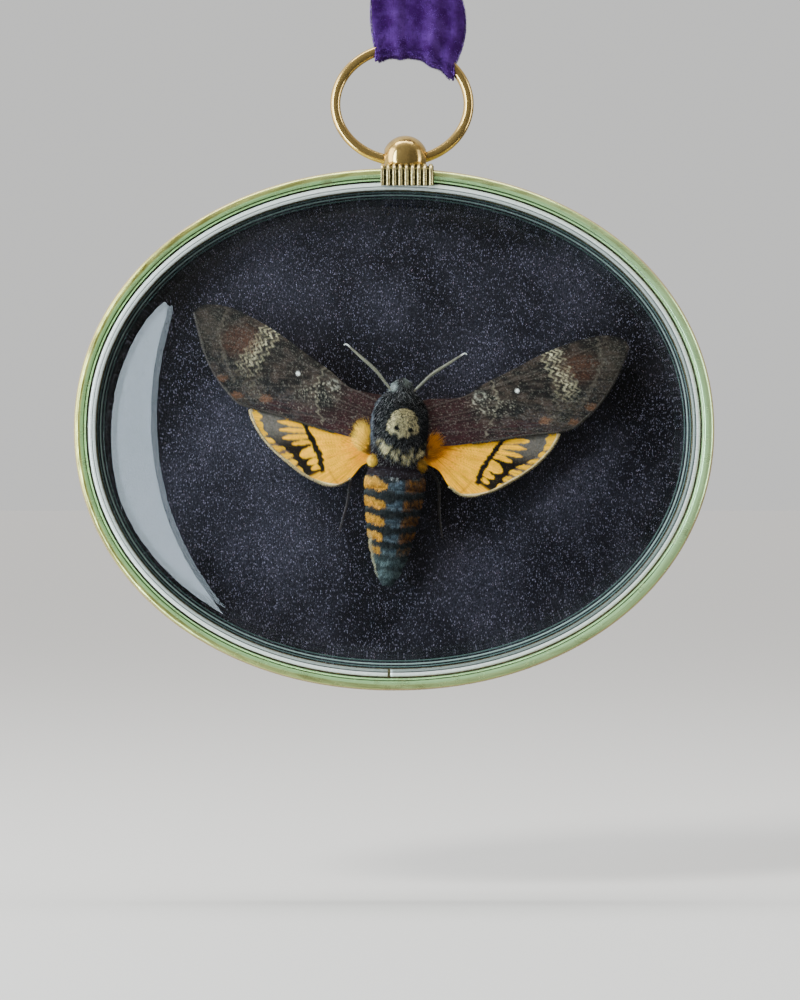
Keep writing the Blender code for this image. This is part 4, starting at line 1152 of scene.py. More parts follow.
def make_fuzz(ribbon, route, outwards, folds):
    """Pile that stands off the ribbon's face and edges, lit as a painted highlight on the fold ridges, in
    crushed patches and along the edges.
    """
    rng = np.random.default_rng(RIBBON_SEED)
    count = RIBBON_FIBRES
    rows, columns = route.shape[:2]
    row = rng.integers(1, rows - 1, count)
    column = np.where(rng.random(count) < 0.25, rng.choice([0, columns - 1], count),
                      rng.integers(0, columns, count))
    side = rng.choice([-1.0, 1.0], count, p=[0.35, 0.65])[:, None]
    facing = outwards[row, column]
    edge = (np.where(column == 0, -1.0, 0.0) + np.where(column == columns - 1, 1.0, 0.0))[:, None]
    sideways = unit(np.gradient(route, axis=1))[row, column]
    half = ribbon.thickness / 2 * (edge == 0)
    roots = route[row, column] + facing * side * (half - 0.05 * MM)
    ways = facing * side * (1 - np.abs(edge)) + sideways * edge * 1.2 + rng.normal(0, 0.35, (count, 3))
    # Painted highlight: fibres on the fold ridges and in crushed patches are lit
    ridge = np.clip(folds[row, column], 0, 1)**2
    crush_and_ridge_light = cloud(column / columns * 6, row / rows * 44, seed=23) + 0.35 * ridge - 0.1
    lit = 0.5 * rng.random((count, 1))**8
    lit = lit + np.clip(2.2 * crush_and_ridge_light, 0, 1)[:, None] * rng.random((count, 1))**1.5
    lit = np.clip(lit + 0.3 * np.abs(edge) * rng.random((count, 1))**3, 0, 1.2)
    stand_pile("ribbon_pile", ribbon, roots, ways, lit, rng)


def make_eye_fuzz(ribbon, points):
    """Pile that stands off the sewn tab, away from the middle of its section."""
    rng = np.random.default_rng(TAB_SEED)
    count = TAB_FIBRES
    at, around = rng.integers(0, points.shape[0], count), rng.integers(0, points.shape[1], count)
    roots = points[at, around] + rng.normal(0, 0.08 * MM, (count, 3))
    ways = unit(roots - points.mean(axis=1)[at]) + (0.0, 0.0, -0.3) + rng.normal(0, 0.3, (count, 3))
    ways[:, 1] += 0.8 * np.sign(ways[:, 1])
    stand_pile("tab_pile", ribbon, roots, ways, 0.7 * rng.random((count, 1))**12, rng)


def stand_pile(name, ribbon, roots, ways, lit, rng):
    """Short velvet fibres with their roots in the cloth, some of them lit."""
    count = len(roots)
    lengths = rng.uniform(0.25, 0.6, count) * MM
    points, faces = needles(roots, ways, lengths, rng.uniform(0.03, 0.06, count) * MM)
    tint = np.array(ribbon.deep) + (np.array(ribbon.light) * 1.7 - np.array(ribbon.deep)) * lit
    finish = painted_finish("ribbon_fuzz", (0.4, 0.35, 0.8), scale=5000.0, dusting=0.04, roughness=0.8,
                            shine=0.08)
    piece(name, points, faces, "hanger", finish, colours=root_to_tip(tint))


BODY_LINE = smooth_line(BODY_OUTLINE, 400)


def body_half(y):
    """Half width of the body at y: its smooth outline, less a groove at each segment's end."""
    half = np.interp(-y, -BODY_LINE[:, 0], BODY_LINE[:, 1])
    ends = np.array(SEGMENT_ENDS)
    nearest = np.min(np.abs(y[..., None] - ends), axis=-1)
    return np.maximum(half - GROOVE_AT_SEGMENTS * np.exp(-(nearest / 0.4)**2) * (y < -8.0), 0.0)


def body_surface(y, turn, inset):
    """Point and outward way of the body: an ellipse of the half width across, flattened front to back."""
    half = np.maximum(body_half(y) - inset, 0.0)
    slope = (body_half(y + 0.3) - body_half(y - 0.3)) / 0.6
    points = joined(BODY_X + half * np.cos(turn), y, BODY_LIFT + BODY_FLATTENING * half * np.sin(turn))
    ways = unit(joined(np.cos(turn), -slope, np.sin(turn) / BODY_FLATTENING))
    return points, ways


def skull_mark(x, y):
    """Mask of the mark on the thorax: a row of half widths up its height, with a ragged edge and chin."""
    wide = np.interp(y, MARK_HEIGHTS, MARK_HALF_WIDTHS)
    chin = 1.5 + 0.9 * np.exp(-((x + 0.1) / 1.2)**2) + 0.5 * noise(x * 2.0, 0 * x)
    face = inside(np.abs(x + 0.25) + 0.25 * noise(x * 2.2, y * 2.2, 3), wide, 0.35)
    return face * inside(y, 4.4, 0.3) * inside(-y, chin, 0.9)


def body_colours(x, y, above, moth):
    """The body's markings: salt and pepper fur, the skull mark, the plum waist and the banded abdomen, with
    painted shade down the right side of the thorax and a painted highlight on the left of the head.
    """
    flecks = noise(x * 5.1, y * 3.9, 1)
    soft = cloud(x * 0.9, y * 0.9, 2)
    cream = np.array(moth.skull)
    mottled = 0.8 + 0.4 * noise(x * 3.4, y * 3.4, 5) - 0.6 * (noise(x * 4.4, y * 4.4, 15) > 0.32)
    bowl = -8.1 + 0.11 * x**2
    jaw = inside(-y, -bowl, 0.5) * inside(y, bowl + 2.9 + 0.8 * noise(x * 1.3, 0 * x, 4), 1.2)
    jaw = jaw * inside(np.abs(x + 0.3), 5.2, 0.6)
    dab = np.clip(0.5 + 1.3 * noise(x * 1.9, y * 1.5, 6), 0, 1)
    plum = inside(y, bowl, 0.4) * inside(-y, 12.0, 0.6)
    return lay(
        one_colour(x.shape, moth.fur),
        (moth.fleck, np.clip(-0.02 + 0.36 * flecks + 0.2 * soft, 0, 0.6)),
        # Painted shade down the right side of the thorax
        ("0b0a0e", inside(-x, -4.2, 1.6) * 0.6),
        ("6f7884", inside(to_line(x, y, SHOULDER_STRIP), 0.7, 0.6) * above * (0.5 + 0.3 * flecks)),
        ("0d0712", inside(to_line(x, y, SHOULDER_GROOVE), 0.28, 0.3) * above * 0.95),
        (cream * np.clip(mottled, 0.12, 1.3)[..., None], skull_mark(x, y) * above),
        *(("060505", spot(x, y, middle, radius, 0.2, 0.8) * above) for *middle, radius in MARK_SPOTS),
        ("0e0b0a", jaw * above * 0.7),
        (cream * 1.3, jaw * dab * above),
        ("1d0d16", plum * 0.95),
        # Painted highlight on the left of the head
        ("c4ccc6", spot(x, y, (-3.0, 9.9), 1.0, 0.6) * 0.7),
        ("8d958f", spot(x, y, (-0.2, 11.2), 0.8, 0.6, 0.6) * 0.5),
        *(("d8dcdc", spot(x, y, middle, 0.35, 0.25) * above) for middle in WAIST_SPOTS),
        (abdomen_colours(x, y, moth), inside(y + 1.2 * (1 - ((x + 1.1) / 7)**2), -10.9, 0.4)))


def abdomen_colours(x, y, moth):
    """Bands of the abdomen: black at the front of each segment, then yellow sides and a blue-grey back, with
    painted shade over the right side.

    The bands sag by a millimetre or so in the middle of the back.
    """
    across = (x - BODY_X) / np.maximum(body_half(y), 0.5)
    sunk = y + 1.25 * np.clip(1 - across**2, 0, 1) * inside(-y, 31.0, 6.0)
    ends = np.array(SEGMENT_ENDS)
    number = np.clip(np.searchsorted(-ends, -sunk) - 1, 0, len(ends) - 2)
    share = (ends[number] - sunk) / (ends[number] - ends[number + 1])
    ragged = 0.06 * noise(x * 1.8, number * 3.0) + 0.04 * noise(x * 5.0, number * 5.0, 1)
    start, stop = np.where(number == 0, 0.42, 0.34) + ragged, 0.92 + 0.6 * ragged
    rounded_end = 0.13 * np.clip((across + 0.58) / 0.3, 0, 1)**2 * inside(across, 0.0, 0.1)
    patch = inside(-share, -(start + rounded_end), 0.08) * inside(share, stop - rounded_end, 0.08)
    fine = noise(x * 4.0, y * 2.0, 7)
    streak = np.clip(0.4 + 0.8 * fine, 0, 1)
    narrow = 0.33 + 0.06 * noise(number * 7.0, across * 2.0, 2)
    low = np.clip((share - start) / 0.5, 0, 1)
    yellow = blend_tones(np.array((1.05, 1.2, 24.0)), np.array((0.95, 0.9, 8.0)), low) * np.array(moth.yellow)
    yellow = yellow * (0.9 + 0.25 * noise(x * 2.2, y * 0.9, 8))[..., None]
    fading = np.interp(number, (0, 3, 4, 5), (1.0, 1.0, 0.9, 0.0))
    left_edge = np.interp(number, (0, 2, 3, 4), (-0.22, -0.27, -0.36, -0.46))
    left = patch * inside(across, left_edge, 0.06) * fading
    right = patch * inside(-across, -0.34, 0.1) * fading * np.clip(0.55 + 0.6 * fine, 0, 1)
    tail = inside(y, -29.0, 5.0)
    teal = linear("7b8f90") * (0.75 + 0.6 * noise(x * 1.6, y * 2.8, 9))[..., None]
    cream_side = inside(np.abs(across + 0.9), 0.1, 0.1) * inside(y, -25.0, 3.0)
    colours = lay(
        one_colour(x.shape, 0.0) + linear("34393b") * (1 + 0.6 * fine)[..., None],
        ("75899a", patch * inside(np.abs(across - 0.05), narrow, 0.2) * (0.3 + 0.6 * streak)),
        (yellow, left * 0.98),
        # The right patches are darker and browner: painted shade on the side away from the light
        (yellow * (0.6, 0.48, 0.6), right * 0.9),
        (teal, tail * (0.3 + 0.65 * inside(np.abs(share - 0.55), 0.3, 0.3)) * (1 - left)))
    shadow = inside(-across, -0.66, 0.4) * 0.35
    return lay(colours * (1 - shadow)[..., None], ("b5aa86", cream_side * 0.75))


def make_body(moth):
    """The body's form under its fur: its surface from nose to tip, closed at both ends."""
    count, sides = 420, 96
    y = np.interp(np.linspace(0, 1, count), np.linspace(0, 1, 400), BODY_LINE[:, 0])[:, None]
    turn = turns(sides)[None, :]
    y, turn = np.broadcast_arrays(y, turn)
    points, _ = body_surface(y, turn, SKIN_INSET)
    # The skin under the fur is darkened: painted shade beneath the hairs
    colours = body_colours(points[..., 0], points[..., 1], (np.sin(turn) > 0) * 1.0, moth) * 0.55
    finish = painted_finish("body_skin", linear("8b93a6"), scale=4000.0, dusting=0.15, roughness=0.7)
    piece("body_form", from_moth(points), grid(points, False, True), "case", finish,
          colours=colours, replaced=("moth_body",), welded=True)


def fur(name, moth, count, span, lengths, lie, seed):
    """Hairs over a span of the body: roots on its surface, each leaning back along the body.

    Lie is the share of that lean in a hair's way. On the mark the hairs are short and spread from its middle.
    """
    rng = np.random.default_rng(seed)
    steps = np.linspace(span[0], span[1], 300)
    weight = np.cumsum(body_half(steps) + 0.4)
    y = np.interp(rng.random(count) * weight[-1], weight, steps)
    turn = np.radians(rng.uniform(-35, 215, count))
    roots, ways = body_surface(y, turn, HAIR_ROOT_INSET)
    lean = joined(rng.normal(0, 0.3, count), -1.0, rng.normal(0, 0.15, count))
    x = roots[:, 0]
    part = inside(np.hypot(x / 4.5, (y - 1.0) / 5.0), 1.0, 0.4)[:, None] * (np.sin(turn) > 0)[:, None]
    spread = joined(x / 4.0, (y - 1.5) / 4.0 - 0.4, 0.0)
    lean = lean * (1 - 0.7 * part) + spread * 0.9 * part
    ways = ways * rng.uniform(0.4, 1.0, count)[:, None] * (1.4 - lie) + lean * lie
    long = rng.uniform(*lengths, count) * (1 - 0.6 * part[:, 0])
    colours = body_colours(x, y, (np.sin(turn) > 0) * 1.0, moth)
    colours = colours * (rng.uniform(0.35, 1.5, count) * (1 + 0.35 * noise(x * 2.1, y * 1.6, seed)))[:, None]
    flecked = (rng.random(count) < 0.12) * (y > -9) * inside(x, 4.0, 2.0) * (1 - 0.6 * part[:, 0])
    colours = lay(colours, (np.array(moth.fleck) * 1.5, flecked * 0.85))
    points, faces = needles(roots, ways, long, rng.uniform(0.06, 0.13, count))
    piece(name, from_moth(points), faces, "case", hair_finish(), colours=root_to_tip(colours))


def tuft(name, count, middle, radii, way, lengths, tone, seed, slot="moth_hindwing", spread=0.6):
    """A tuft: hairs rooted in an oval patch that fan out along one way."""
    rng = np.random.default_rng(seed)
    turn, reach = rng.uniform(0, 2 * np.pi, count), np.sqrt(rng.random(count))
    offset = joined(reach * np.cos(turn) * radii[0], reach * np.sin(turn) * radii[1],
                    rng.uniform(-0.5, 0.3, count) - 0.6 * reach**2)
    roots = np.array(middle) + offset
    fan = joined(offset[:, 0] / radii[0], offset[:, 1] / radii[1], 0.0)
    ways = np.array(way) + fan * spread + rng.normal(0, 0.15 * spread + 0.12, (count, 3))
    points, faces = needles(roots, ways, rng.uniform(*lengths, count), rng.uniform(0.05, 0.09, count))
    clump = 1 + 0.35 * noise(roots[:, 0] * 2.5, roots[:, 1] * 2.5, seed)
    colours = np.array(tone) * (clump * rng.uniform(0.55, 1.3, count))[:, None]
    piece(name, from_moth(points), faces, "case", hair_finish(), colours=root_to_tip(colours, 0.7))


def make_limb(name, line, side, radii, tone, rings=0.0):
    """A leg or antenna: a round section of changing radius carried along a smooth line."""
    sides = 14
    path = smooth_line(line, 160)
    path = np.column_stack([side * path[:, 0] + BODY_X, path[:, 1:]])
    share = np.linspace(0, 1, len(path))
    width = np.interp(share, np.linspace(0, 1, len(radii)), radii)
    width = width * (1 + rings * np.cos(share * 2 * np.pi * ANTENNA_RINGS))
    width[[0, -1]] = 0.0
    points = tube(path, width, sides)
    tip = inside(1 - share, 0.1, 0.06)[:, None, None]
    colours = np.zeros(points.shape) + np.array(tone) * (1 + 0.25 * np.cos(share * 290))[:, None, None]
    colours = colours * (1 - tip) + linear("e6e6de") * tip if rings else colours
    finish = painted_finish("limb_skin", linear("8b93a6"), scale=5000.0, dusting=0.2, roughness=0.5)
    piece(name, from_moth(points), grid(points, False, True), "case", finish,
          colours=colours, welded=True)


def forewing_colours(x, y, moth, seed):
    """The forewing's markings, at x out along the wing and y up it, and the distance to its nearest vein."""
    mottle = cloud(x * 0.55, y * 0.8, seed)
    fine = noise(x * 3.2, y * 3.2, seed + 1)
    lower = inside(to_line(x, y, LOWER_PATCH), 3.5, 4.0)
    base = inside(x + 0.35 * y, 17.5, 6.0)
    trail = inside(y - 0.16 * x, -0.4, 3.0) * inside(x, 34, 8)
    streaks = np.clip(0.5 + 0.9 * noise(x * 0.35, (y - 0.16 * x) * 3.0, seed + 4), 0, 1)
    rust = inside(np.hypot((x - 39.6) / 4.2, (y - 17.4) / 3.4) + 0.35 * mottle, 1.0, 0.8)
    wave = 2 * np.abs(((y - 0.3 * x) * 0.5 + 0.12 * fine) % 1.0 - 0.5) - 0.5
    fade = inside(-y, -10.5, 5.0) * 0.8 + 0.1
    broken = np.clip(0.75 + 0.6 * noise(x * 1.3, y * 1.3, seed + 5), 0.2, 1)
    inner = to_line(x - wave * 0.9, y, INNER_LINE)
    outer = to_line(x, y, OUTER_LINE) + 0.5 * fine
    tuft_mark = inside(np.abs(np.hypot((x - 17.2) / 1.5, (y - 8.9) / 1.2) - 0.8) + 0.3 * fine, 0.25, 0.4)
    specks = inside(np.hypot((x - 20.0) / 5.0, (y - 7.0) / 2.6), 1.0, 0.8) * np.clip(2.2 * fine - 0.9, 0, 1)
    tip = inside(np.hypot((x - 46.6) / 3.4, (y - 19.6) / 3.4) + 0.7 * fine, 0.9, 0.8)
    vein = np.min([to_line(x, y, line) for line in FOREWING_VEINS], axis=0)

    def middle_line(shift):
        return inside(to_line(x - shift - wave * 1.5, y, MIDDLE_BAND), 0.26 + 0.12 * fine, 0.35)

    def rust_spot(middle):
        return inside(np.hypot((x - middle[0]) / 1.4, (y - middle[1]) / 0.8) + 0.4 * fine, 1.0, 0.6)

    colours = lay(
        one_colour(x.shape, moth.brown),
        ("40342c", np.clip(0.3 + 0.8 * mottle, 0, 1)),
        ("0d0b0b", np.clip(0.3 - 1.2 * mottle, 0, 0.9)),
        ("3c3d42", lower * np.clip(0.1 + 0.6 * fine, 0, 0.6)),
        ("260f0f", base * 0.9),
        ("4e3034", base * np.clip(0.8 * fine - 0.25, 0, 0.5)),
        ("2e1216", trail * streaks * 0.85),
        ("5d3826", rust * np.clip(0.6 + 0.5 * fine, 0, 1) * 0.8),
        *(("cfc59f", middle_line(shift) * strength * fade * broken) for shift, strength in MIDDLE_LINES),
        ("857d6a", inside(inner, 0.2 + 0.2 * fine, 0.3) * 0.5),
        ("a9a899", tuft_mark * np.clip(0.35 + 0.9 * fine, 0, 0.8)),
        ("b7b29c", specks * 0.7),
        ("f4f3ea", spot(x, y, (25.7, 10.8), 0.48, 0.25)),
        ("5a5146", tip * 0.35),
        ("6d6556", inside(outer, 0.35, 0.5) * 0.5),
        *(("704a30", rust_spot(middle) * 0.75) for middle in RUST_SPOTS),
        ("8f8b7c", np.clip(2.4 * noise(x * 4.7, y * 4.1, seed + 2) - 1.6, 0, 0.4)))
    colours = lay(colours * (1 - 0.42 * inside(-x, -37.0, 12.0))[..., None],
                  ("4a443d", inside(vein, 0.12, 0.2) * 0.4),
                  ("100d0c", inside(np.abs(vein - 0.45), 0.15, 0.25) * 0.35))
    return colours, vein


def hindwing_colours(x, y, moth, seed):
    """The hindwing's markings by turn and reach about its hinge, and the streaks that raise its surface.

    It is yellow; past the inner band it is dark, but for leaf-shaped fingers that run out from the band and
    scallops that run in from the margin.
    """
    dx, dy = x - HINDWING_HINGE[0], y - HINDWING_HINGE[1]
    reach, turn = np.hypot(dx, dy), np.arctan2(dy, dx)
    fine = noise(x * 4.0, y * 4.0, seed + 5)
    ragged = 0.3 * noise(x * 1.6, y * 1.6, seed) + 0.18 * fine
    inner, outer, half, margin = (np.interp(turn, HINDWING_TURNS, row) for row in
                                  (INNER_BAND, OUTER_BAND, OUTER_HALF, HINDWING_MARGIN))
    yellow = np.array(moth.yellow)
    streak = noise(turn * 110, reach * 0.3, seed + 1)
    plain = yellow * (1.0 + 0.3 * streak + 0.08 * noise(x, y, seed + 2))[..., None]
    orange = inside(reach, 9.0, 8.0) * 0.6 + 0.5 * np.clip(noise(turn * 90, reach * 0.2, seed + 9), 0, 1)
    wrinkle = np.clip(noise(turn * 46, reach * 0.22, seed + 3) * 1.7 - 0.75, 0, 1) * inside(reach, 15.0, 4.0)
    past = inside(-reach, -(inner + 0.3), 0.5) * inside(-turn, 0.53, 0.05)
    worn = blend_tones(linear("5a544f"), linear("15110f"), inside(turn, -0.06, 0.2))
    colours = lay(plain,
                  (yellow * (0.9, 0.6, 0.4), np.clip(orange, 0, 1)),
                  ("7a3a10", wrinkle * 0.75),
                  (worn * (1 + 0.35 * fine)[..., None], past))
    for root, tip, wide, end in FINGERS:
        t = np.clip((reach - inner) / np.maximum(end - inner, 0.1), 0, 1)
        leaf = wide * np.sqrt(np.clip(1 - t**2.6, 0, 1)) * (0.8 + 0.35 * t) - 0.12
        shape = inside(np.abs(turn - root - (tip - root) * t) * reach + 0.5 * ragged, leaf, 0.3)
        colours = lay(colours, (plain * (1.0, 1.04, 1.5), shape * inside(reach, end, 0.3) * past))
    for middle, wide in SCALLOPS:
        t = np.clip((reach - outer - half) / np.maximum(margin - outer - half, 0.1), 0, 1)
        leaf = wide * np.sqrt(np.clip(2 * t, 0, 1))
        shape = inside(np.abs(turn - middle) * reach + ragged, leaf, 0.35)
        shape = shape * inside(-reach, -(outer + half), 0.4)
        colours = lay(colours, (plain * (0.85, 0.95, 1.6), shape * past * 0.92))
    gaps = inside(-reach, -(outer + half + 0.6), 0.8) * past * inside(colours[..., 0], 0.3, 0.1)
    band = inside(np.abs(reach - inner), 0.68 + 0.8 * ragged, 0.25) * inside(-turn, 0.56, 0.05)
    edge = inside(np.abs(reach - 15.2 + 3 * (turn + 0.75)**2), 0.25, 0.3) * inside(turn, -0.56, 0.1)
    colours = lay(colours,
                  ("80665c", gaps * 0.6),
                  ("12100f", band),
                  ("b06a20", edge * 0.5),
                  ("e6d8b0", inside(margin - reach, 0.32, 0.2) * 0.75))
    return colours, 0.5 + 0.5 * streak


def make_wing(name, leading, trailing, lift, side, steps, moth, slot, paint, seed, replaced):
    """A wing: between its leading and trailing edges on one side, and back on the other.

    A point is leading + v (trailing - leading); its height is the lift, a slow wave, the veins' relief,
    and half the thickness, which falls to nothing at the edges.
    """
    span, chord = steps
    ahead, behind = smooth_line(leading, span), smooth_line(trailing, span)
    v = (1 - np.cos(np.linspace(0, np.pi, chord))) / 2
    flat = ahead[:, None] + v[None, :, None] * (behind - ahead)[:, None]
    x, y = flat[..., 0], flat[..., 1]
    colours, relief = paint(x, y, moth, seed)
    wave = 0.22 * noise(x * 0.13, y * 0.13, seed + 20) + 0.1 * noise(x * 0.35, y * 0.5, seed + 21)
    fore = slot == "moth_forewing"
    raised = 0.1 * inside(relief, 0.25, 0.3) if fore else 0.05 * relief
    half = WING_HALF_THICKNESS * np.sqrt(np.clip(4 * v * (1 - v), 0, 1))[None, :] * np.ones((span, 1))
    half[[0, -1]] = 0.0
    height = lift + wave + raised * (half > 0.05)
    upper = joined(x, y, height + half)
    lower = joined(x, y, height - half)
    points = np.concatenate([upper, lower[:, ::-1]], axis=1)
    points[..., 0] *= side
    both = np.concatenate([colours, colours[:, ::-1] * 0.8], axis=1)
    finish = painted_finish(slot + "_scales", linear("8d8b80" if fore else "f6c860"), scale=3600.0,
                            dusting=0.14 if fore else 0.03, roughness=0.75,
                            contrast=0.7 if fore else 0.2, shine=0.15 if fore else 0.04)
    piece(name, from_moth(points), grid(points, False, True), "case", finish,
          colours=both, replaced=(replaced,), welded=True)


def make_fringe(name, edge, lift, side, count, tone, slot, seed):
    """Scales that fringe a wing's outer edge, pointing out from it."""
    rng = np.random.default_rng(seed)
    line = smooth_line(edge, 400)
    at = rng.integers(1, len(line) - 1, count)
    ahead = unit(np.gradient(line, axis=0))[at]
    out = joined(ahead[:, 1], -ahead[:, 0])
    out *= np.sign(np.sum(out * (line[at] - np.array([20.0, 4.0])), axis=1))[:, None]
    roots = np.column_stack([line[at] - out * 0.25, lift + rng.normal(0, 0.05, count)])
    ways = np.column_stack([out + rng.normal(0, 0.18, (count, 2)), rng.normal(0, 0.1, count)])
    roots[:, 0] *= side
    ways[:, 0] *= side
    points, faces = needles(roots, ways, rng.uniform(0.4, 0.8, count), rng.uniform(0.04, 0.08, count))
    colours = np.array(tone) * rng.uniform(0.5, 1.4, (count, 1))
    finish = painted_finish(slot + "_fringe", (0.5, 0.48, 0.4), scale=6000.0, dusting=0.1, roughness=0.7)
    piece(name, from_moth(points), faces, "case", finish, colours=root_to_tip(colours, 0.8))


class FRAMEDMOTH_OT_rim(bpy.types.Operator):
    """Make the brass rim and the split ring that lies on the glass"""

    bl_idname = "framed_moth.rim"
    bl_label = "Rim"

    def execute(self, context):
        case = context.scene.framed_moth_case
        make_rim(case)
        make_lip(case)
        return {"FINISHED"}


class FRAMEDMOTH_OT_glass(bpy.types.Operator):
    """Make the domed glass and the bevels of its flange"""

    bl_idname = "framed_moth.glass"
    bl_label = "Domed glass"

    def execute(self, context):
        make_glass()
        make_bevels()
        return {"FINISHED"}


class FRAMEDMOTH_OT_ground(bpy.types.Operator):
    """Make the velvet ground with its pile, and finish the card and points behind it"""

    bl_idname = "framed_moth.ground"
    bl_label = "Velvet ground and back"

    def execute(self, context):
        ground = context.scene.framed_moth_ground
        make_ground(ground)
        make_pile(ground)
        dress_back(context.scene.framed_moth_case)
        return {"FINISHED"}


class FRAMEDMOTH_OT_ring(bpy.types.Operator):
    """Make the wire ring, the bored ball and the ribbed saddle under it"""

    bl_idname = "framed_moth.ring"
    bl_label = "Ring, ball and saddle"

    def execute(self, context):
        ring = context.scene.framed_moth_ring
        make_ring(ring)
        make_ball(ring)
        make_saddle(ring, context.scene.framed_moth_case)
        return {"FINISHED"}


class FRAMEDMOTH_OT_ribbon(bpy.types.Operator):
    """Make the velvet ribbon with its sewn eye and its pile"""

    bl_idname = "framed_moth.ribbon"
    bl_label = "Ribbon"

    def execute(self, context):
        ribbon = context.scene.framed_moth_ribbon
        cloth, route, outwards, folds = make_ribbon(ribbon)
        make_eye_fuzz(ribbon, make_eye(ribbon))
        make_fuzz(ribbon, route, outwards, folds)
        return {"FINISHED"}


class FRAMEDMOTH_OT_body(bpy.types.Operator):
    """Make the moth's body, its fur, legs and antennae"""

    bl_idname = "framed_moth.body"
    bl_label = "Moth body"

    def execute(self, context):
        moth = context.scene.framed_moth_moth
        make_body(moth)
        fur("thorax_fur", moth, moth.thorax_hairs, span=(11.4, -9.6), lengths=(0.7, 1.6), lie=0.72,
            seed=THORAX_SEED)
        fur("abdomen_fur", moth, moth.abdomen_hairs, span=(-9.0, -36.6), lengths=(0.45, 0.95), lie=0.85,
            seed=ABDOMEN_SEED)
        for name, *hairs, tint, seed, spread in TUFTS:
            tuft(name, *hairs, np.array(moth.yellow) * tint, seed, spread=spread)
        for number, ((x, y, reach), z) in enumerate(zip(MARK_PITS, MARK_PIT_HEIGHTS), start=1):
            tuft(f"mark_spot_{number}", 260, (x, y, z), radii=(reach, reach * 1.2), way=(0, -0.4, 0.5),
                 lengths=(0.2, 0.4), tone=np.full(3, 0.002), seed=MARK_SEED + number, slot="moth_fur")
        for side, label in ((1, "right"), (-1, "left")):
            for number, line in enumerate(LEGS, start=1):
                make_limb(f"leg_{label}_{number}", line, side, LEG_RADII, linear("2b2624"))
            make_limb(f"antenna_{label}", ANTENNA, side, ANTENNA_RADII, linear("6f6d5c"), rings=0.06)
        return {"FINISHED"}


class FRAMEDMOTH_OT_wings(bpy.types.Operator):
    """Make the four wings with their markings and fringes"""

    bl_idname = "framed_moth.wings"
    bl_label = "Wings"

    def execute(self, context):
        moth = context.scene.framed_moth_moth
        for side, label in ((1, "right"), (-1, "left")):
            make_wing(f"forewing_{label}", FOREWING_LEADING, FOREWING_TRAILING, FOREWING_LIFT, side,
                      (250, 96), moth, "moth_forewing", forewing_colours, FOREWING_SEED + side,
                      f"moth_forewing_{label}")
            make_wing(f"hindwing_{label}", HINDWING_LEADING, HINDWING_TRAILING, HINDWING_LIFT, side,
                      (190, 90), moth, "moth_hindwing", hindwing_colours, HINDWING_SEED + side,
                      f"moth_hindwing_{label}")
            make_fringe(f"forewing_fringe_{label}", FOREWING_TRAILING[3:], FOREWING_LIFT, side, 3000,
                        linear("4a443e"), "moth_forewing", FOREWING_FRINGE_SEED + side)
            make_fringe(f"hindwing_fringe_{label}", HINDWING_TRAILING[3:], HINDWING_LIFT, side, 3000,
                        linear("d9c08a"), "moth_hindwing", HINDWING_FRINGE_SEED + side)
        return {"FINISHED"}


def area_light(name, place, aim, width, height, power, colour):
    """A soft rectangular light that looks at a point."""
    data = bpy.data.lights.new(name, "AREA")
    data.shape = "RECTANGLE"
    data.size, data.size_y = width, height
    data.energy = power
    data.color = colour
    item = bpy.data.objects.new(name, data)
    item.location = place
    item.rotation_euler = (Vector(aim) - Vector(place)).to_track_quat("-Z", "Y").to_euler()
    item.visible_camera = False
    bpy.context.scene.collection.objects.link(item)
    return item


def make_world(scene):
    """A pale backdrop for the camera; around the object, light from the sides and little from the front."""
    world = scene.world or bpy.data.worlds.new("studio")
    scene.world = world
    world.use_nodes = True
    tree = world.node_tree
    tree.nodes.clear()
    way = node(tree, "SeparateXYZ", {0: node(tree, "TexCoord").outputs["Generated"]})
    side = node(tree, "MapRange", {"Value": way.outputs["Y"], 1: -0.5, 2: -0.1, 3: 0.15, 4: 0.7},
                interpolation_type="SMOOTHSTEP")
    left = maths(tree, "MULTIPLY_ADD", way.outputs["X"], -0.6, 0.9)
    high = maths(tree, "MULTIPLY_ADD", way.outputs["Z"], 0.5, left)
    strength = maths(tree, "MULTIPLY", side.outputs[0], high)
    lit = maths(tree, "MAXIMUM", strength, 0.05)
    around = node(tree, "Background", {"Color": (1.0, 0.98, 0.97, 1.0), "Strength": lit})
    seen = node(tree, "Background", {"Color": (0.76, 0.76, 0.75, 1.0), "Strength": 1.0})
    rays = node(tree, "LightPath")
    mixed = node(tree, "MixShader", {0: rays.outputs["Is Camera Ray"], 1: around.outputs[0],
                                     2: seen.outputs[0]})
    out = node(tree, "OutputWorld", {"Surface": mixed.outputs[0]})
    out.is_active_output = True


def make_lights():
    """Soft sunlight, a tall window that shows in the dome, and soft fills; the last looks straight down."""
    sun = bpy.data.lights.new("daylight", "SUN")
    sun.energy = 2.6
    sun.angle = math.radians(14)
    sun.color = SUN_COLOUR
    item = bpy.data.objects.new("daylight", sun)
    item.rotation_euler = Vector(SUN_WAY).to_track_quat("-Z", "Y").to_euler()
    item.visible_glossy = False
    item.visible_transmission = False
    bpy.context.scene.collection.objects.link(item)
    middle = tuple(CASE_MIDDLE)
    window = area_light("window", WINDOW_PLACE, middle, *WINDOW_SIZE, WINDOW_POWER, WINDOW_COLOUR)
    window.data.shape = "ELLIPSE"
    fills = [area_light(name, place, middle, *rest) for name, place, *rest in FILL_LIGHTS]
    fills[-1].rotation_euler = (0.0, 0.0, 0.0)


def make_camera(stage):
    """A level camera, square to the rim, whose lens shows the view's height at the rim's front."""
    scene = bpy.context.scene
    data = bpy.data.cameras.new("camera")
    data.lens = data.sensor_width * stage.distance / stage.view_height
    camera = bpy.data.objects.new("camera", data)
    camera.location = (stage.view_middle[0], RIM_LOW[1] - stage.distance, stage.view_middle[1])
    camera.rotation_euler = (math.radians(90), 0.0, 0.0)
    scene.collection.objects.link(camera)
    scene.camera = camera


